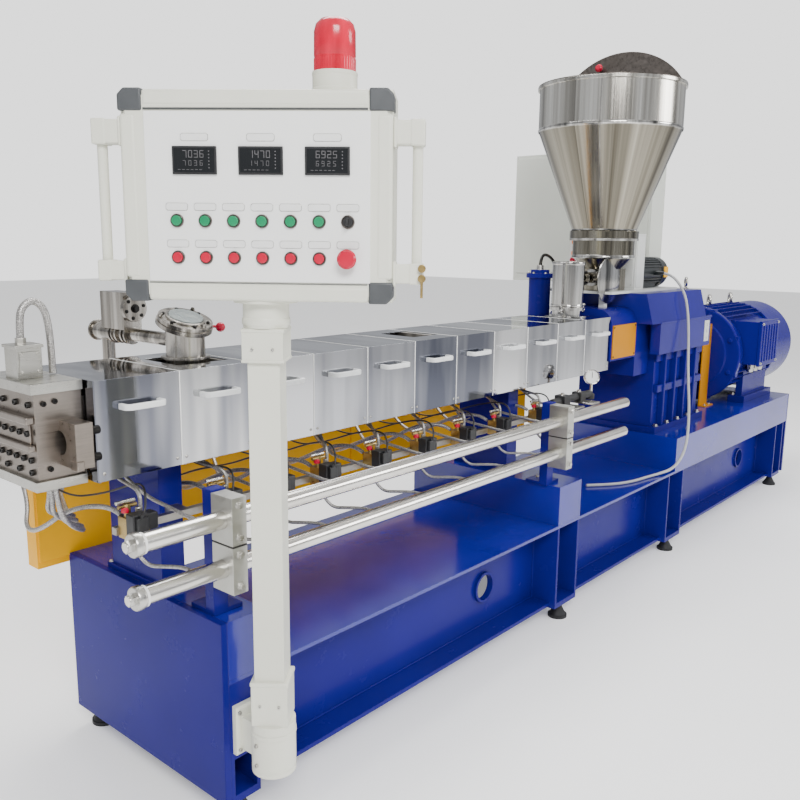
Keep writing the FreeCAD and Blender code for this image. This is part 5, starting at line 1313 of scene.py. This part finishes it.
def beacon_parts():
    """Ribbed dome of the beacon and the two rings of its base."""
    low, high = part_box("beacon_lens")
    centre = Vector(((low.x + high.x) / 2, (low.y + high.y) / 2, 0))
    lens = Piece(body="panel")
    base = low.z
    height = high.z - base
    sides = 96
    rings = []
    profile = [(0.0458, 0.0), (0.0458, 0.028), (0.0448, 0.029), (0.0448, 0.033), (0.0455, 0.034),
               (0.045, 0.085),
               (0.042, 0.100), (0.032, 0.110), (0.016, 0.1135), (0.0, height)]
    for radius, rise in profile:
        ring = []
        count = 1 if radius == 0 else sides
        for i in range(count):
            ridge = 0.0011 if i % 2 and rise < 0.1 else 0.0
            angle = 2 * math.pi * i / sides
            ring.append(lens.mesh.verts.new((centre.x + (radius + ridge) * math.cos(angle),
                                             centre.y + (radius + ridge) * math.sin(angle), base + rise)))
        rings.append(ring)
    lens.skin(rings, sides)
    lens.mesh.faces.new(rings[0][::-1])
    dome = lens.done("beacon_dome", BEACON, "beacon_red", 0)
    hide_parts("beacon_lens")
    skirt = Piece(body="panel")
    skirt.lathe([(0.0495, 0.0), (0.052, 0.002), (0.052, 0.010), (0.0495, 0.013)],
                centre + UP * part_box("beacon_base")[0].z, UP, 64)
    skirt.lathe([(0.0495, 0.0), (0.0507, 0.002), (0.0507, 0.008), (0.0460, 0.011)],
                centre + UP * (base - 0.010), UP, 64)
    skirt.done("beacon_skirt", PANEL, "beacon_grey", 0)


# ---------------------------------------------------------------- base

def base_parts():
    """Foot nuts, weld lines, trough panels, and bolts of the supports and the motor's feet."""
    nuts = Piece()
    for x in (0.0, 1.6935, 2.773, 4.411):
        for y in (0.0, 0.692):
            nuts.rod((x, y, 0.050), (x, y, 0.060), 0.018, 6)
            nuts.rod((x, y, 0.0605), (x, y, 0.0655), 0.014, 24)
    nuts.done("foot_nuts", BOLT, "foot_rubber", 0.001)
    welds = Piece()
    web = -0.035 + 0.113    # the girders' webs stand back from their flanges
    for x in (-0.029, 1.608, 1.779, 2.681, 2.865, 4.336, 4.486):
        welds.rod((x, web, 0.090), (x, web, 0.411), 0.004, 8)
    welds.rod((-0.029, web, 0.0905), (4.50, web, 0.0905), 0.004, 8)
    welds.done("girder_welds", BLUE, "blue_paint", 0)
    trough_low, trough_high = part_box("wiring_trough")
    panels = Piece()
    knobs = Piece()
    width = (trough_high.x - trough_low.x) / 6
    for i in range(6):
        start = trough_low.x + i * width
        for near, far in ((trough_low.y - 0.004, trough_low.y + 0.001),
                          (trough_high.y - 0.001, trough_high.y + 0.003)):
            panels.box((start + 0.006, near, trough_low.z + 0.02),
                       (start + width - 0.006, far, trough_high.z - 0.015))
        for k in range(3):
            x = start + 0.08 + k * 0.13
            knobs.rod((x, trough_low.y - 0.014, 0.80), (x, trough_low.y - 0.003, 0.80), 0.012, 6)
            knobs.rod((x + 0.045, trough_low.y - 0.014, 0.83), (x + 0.045, trough_low.y - 0.003, 0.83),
                      0.010, 6)
        for x in (start + 0.025, start + width - 0.025):
            for z in (trough_low.z + 0.04, trough_high.z - 0.035):
                panels.hex_bolt((x, trough_high.y + 0.003, z), BACK, 0.007)
    panels.done("trough_panels", YELLOW, "yellow_paint", 0.002)
    knobs.done("trough_unions", BOLT, "yellow_paint", 0.001)
    bolts = Piece()
    support_low, support_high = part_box("barrel_supports")
    for start in (support_low.x + 0.008, support_high.x - 0.018 - 0.074):
        for x in (start - 0.001, start + 0.083):
            for y in (support_low.y + 0.009, support_high.y - 0.009):
                bolts.hex_bolt((x, y, 0.602), UP, 0.0075)
    bolts.done("support_bolts", BOLT, "blue_paint", 0)
    feet = Piece()
    for x in (4.02, 4.12, 4.38, 4.46):
        for y in (CENTRE_Y - 0.2285, CENTRE_Y + 0.2285):
            feet.hex_bolt((x, y + 0.034, 0.634), UP, 0.016)
    feet.done("motor_foot_bolts", BOLT, "blue_paint", 0.001)


# ---------------------------------------------------------------- studio

def studio():
    """A pale floor and world, brighter to the camera than to the part, and three soft lamps."""
    floor = bpy.data.meshes.new("floor")
    floor.from_pydata([(-30, -30, 0), (30, -30, 0), (30, 30, 0), (-30, 30, 0)], [], [(0, 1, 2, 3)])
    ground = show("floor", floor)
    pale = Finish("pale_floor")
    pale.tint(pale.ramp(pale.noise(1.5, detail=3), [(0.3, (0.9, 0.9, 0.9)), (0.7, (0.93, 0.93, 0.93))]))
    pale.set(Roughness=0.6, Emission_Color=(1, 1, 1, 1), Emission_Strength=0.28)
    floor.materials.append(pale.material)
    world = bpy.data.worlds.new("studio")
    bpy.context.scene.world = world
    world.use_nodes = True
    nodes = world.node_tree.nodes
    links = world.node_tree.links
    background = nodes["Background"]
    direction = nodes.new("ShaderNodeTexCoord")
    split = nodes.new("ShaderNodeSeparateXYZ")
    sky = nodes.new("ShaderNodeValToRGB")
    sky.color_ramp.elements[0].position = 0.0
    sky.color_ramp.elements[0].color = (0.5, 0.52, 0.56, 1)
    sky.color_ramp.elements[1].position = 0.75
    sky.color_ramp.elements[1].color = (1, 1, 1, 1)
    links.new(direction.outputs["Generated"], split.inputs["Vector"])
    links.new(split.outputs["Z"], sky.inputs["Fac"])
    links.new(sky.outputs["Color"], background.inputs["Color"])
    background.inputs["Strength"].default_value = 0.9
    backdrop = nodes.new("ShaderNodeBackground")
    backdrop.inputs["Color"].default_value = (1, 1, 1, 1)
    backdrop.inputs["Strength"].default_value = 1.9
    path = nodes.new("ShaderNodeLightPath")
    mix = nodes.new("ShaderNodeMixShader")
    links.new(path.outputs["Is Camera Ray"], mix.inputs["Fac"])
    links.new(background.outputs["Background"], mix.inputs[1])
    links.new(backdrop.outputs["Background"], mix.inputs[2])
    links.new(mix.outputs["Shader"], nodes["World Output"].inputs["Surface"])
    softbox("key", (-2.5, -4.0, 4.6), (1.6, 0.3, 0.9), 2.6, 380)
    softbox("fill", (5.5, -4.5, 3.4), (3.0, 0.3, 1.0), 2.6, 170)
    softbox("top", (2.2, 1.2, 5.4), (2.0, 0.3, 1.0), 3.5, 260)


def softbox(name, place, target, size, power):
    """A soft rectangular lamp at a place, aimed at a target."""
    data = bpy.data.lights.new(name, "AREA")
    data.shape = "RECTANGLE"
    data.size = size
    data.size_y = size * 0.7
    data.energy = power
    light = show(name, data)
    light.location = place
    light.rotation_euler = (Vector(target) - Vector(place)).to_track_quat("-Z", "Y").to_euler()


def camera():
    """Standing height in front of the die end, looking along the machine."""
    yaw = math.radians(49.25)
    pitch = math.radians(-10.54)
    roll = math.radians(0.63)
    ahead = Vector((math.sin(yaw) * math.cos(pitch), math.cos(yaw) * math.cos(pitch), math.sin(pitch)))
    level = Vector((math.cos(yaw), -math.sin(yaw), 0))
    above = level.cross(ahead)
    right = level * math.cos(roll) + above * math.sin(roll)
    top = above * math.cos(roll) - level * math.sin(roll)
    data = bpy.data.cameras.new("view")
    data.lens = 38.07
    data.sensor_width = 36
    eye = show("view", data)
    turn = Matrix((right, top, -ahead)).transposed().to_4x4()
    eye.matrix_world = Matrix.Translation((-1.2939, -1.6813, 1.5463)) @ turn
    bpy.context.scene.camera = eye


camera()
feeder_cable()
cover_parts()
vent_parts()
stack_parts()
die_parts()
cooling_parts()
drive_parts()
gearbox_parts()
feeder_parts()
panel_parts()
post_parts()
beacon_parts()
base_parts()
studio()
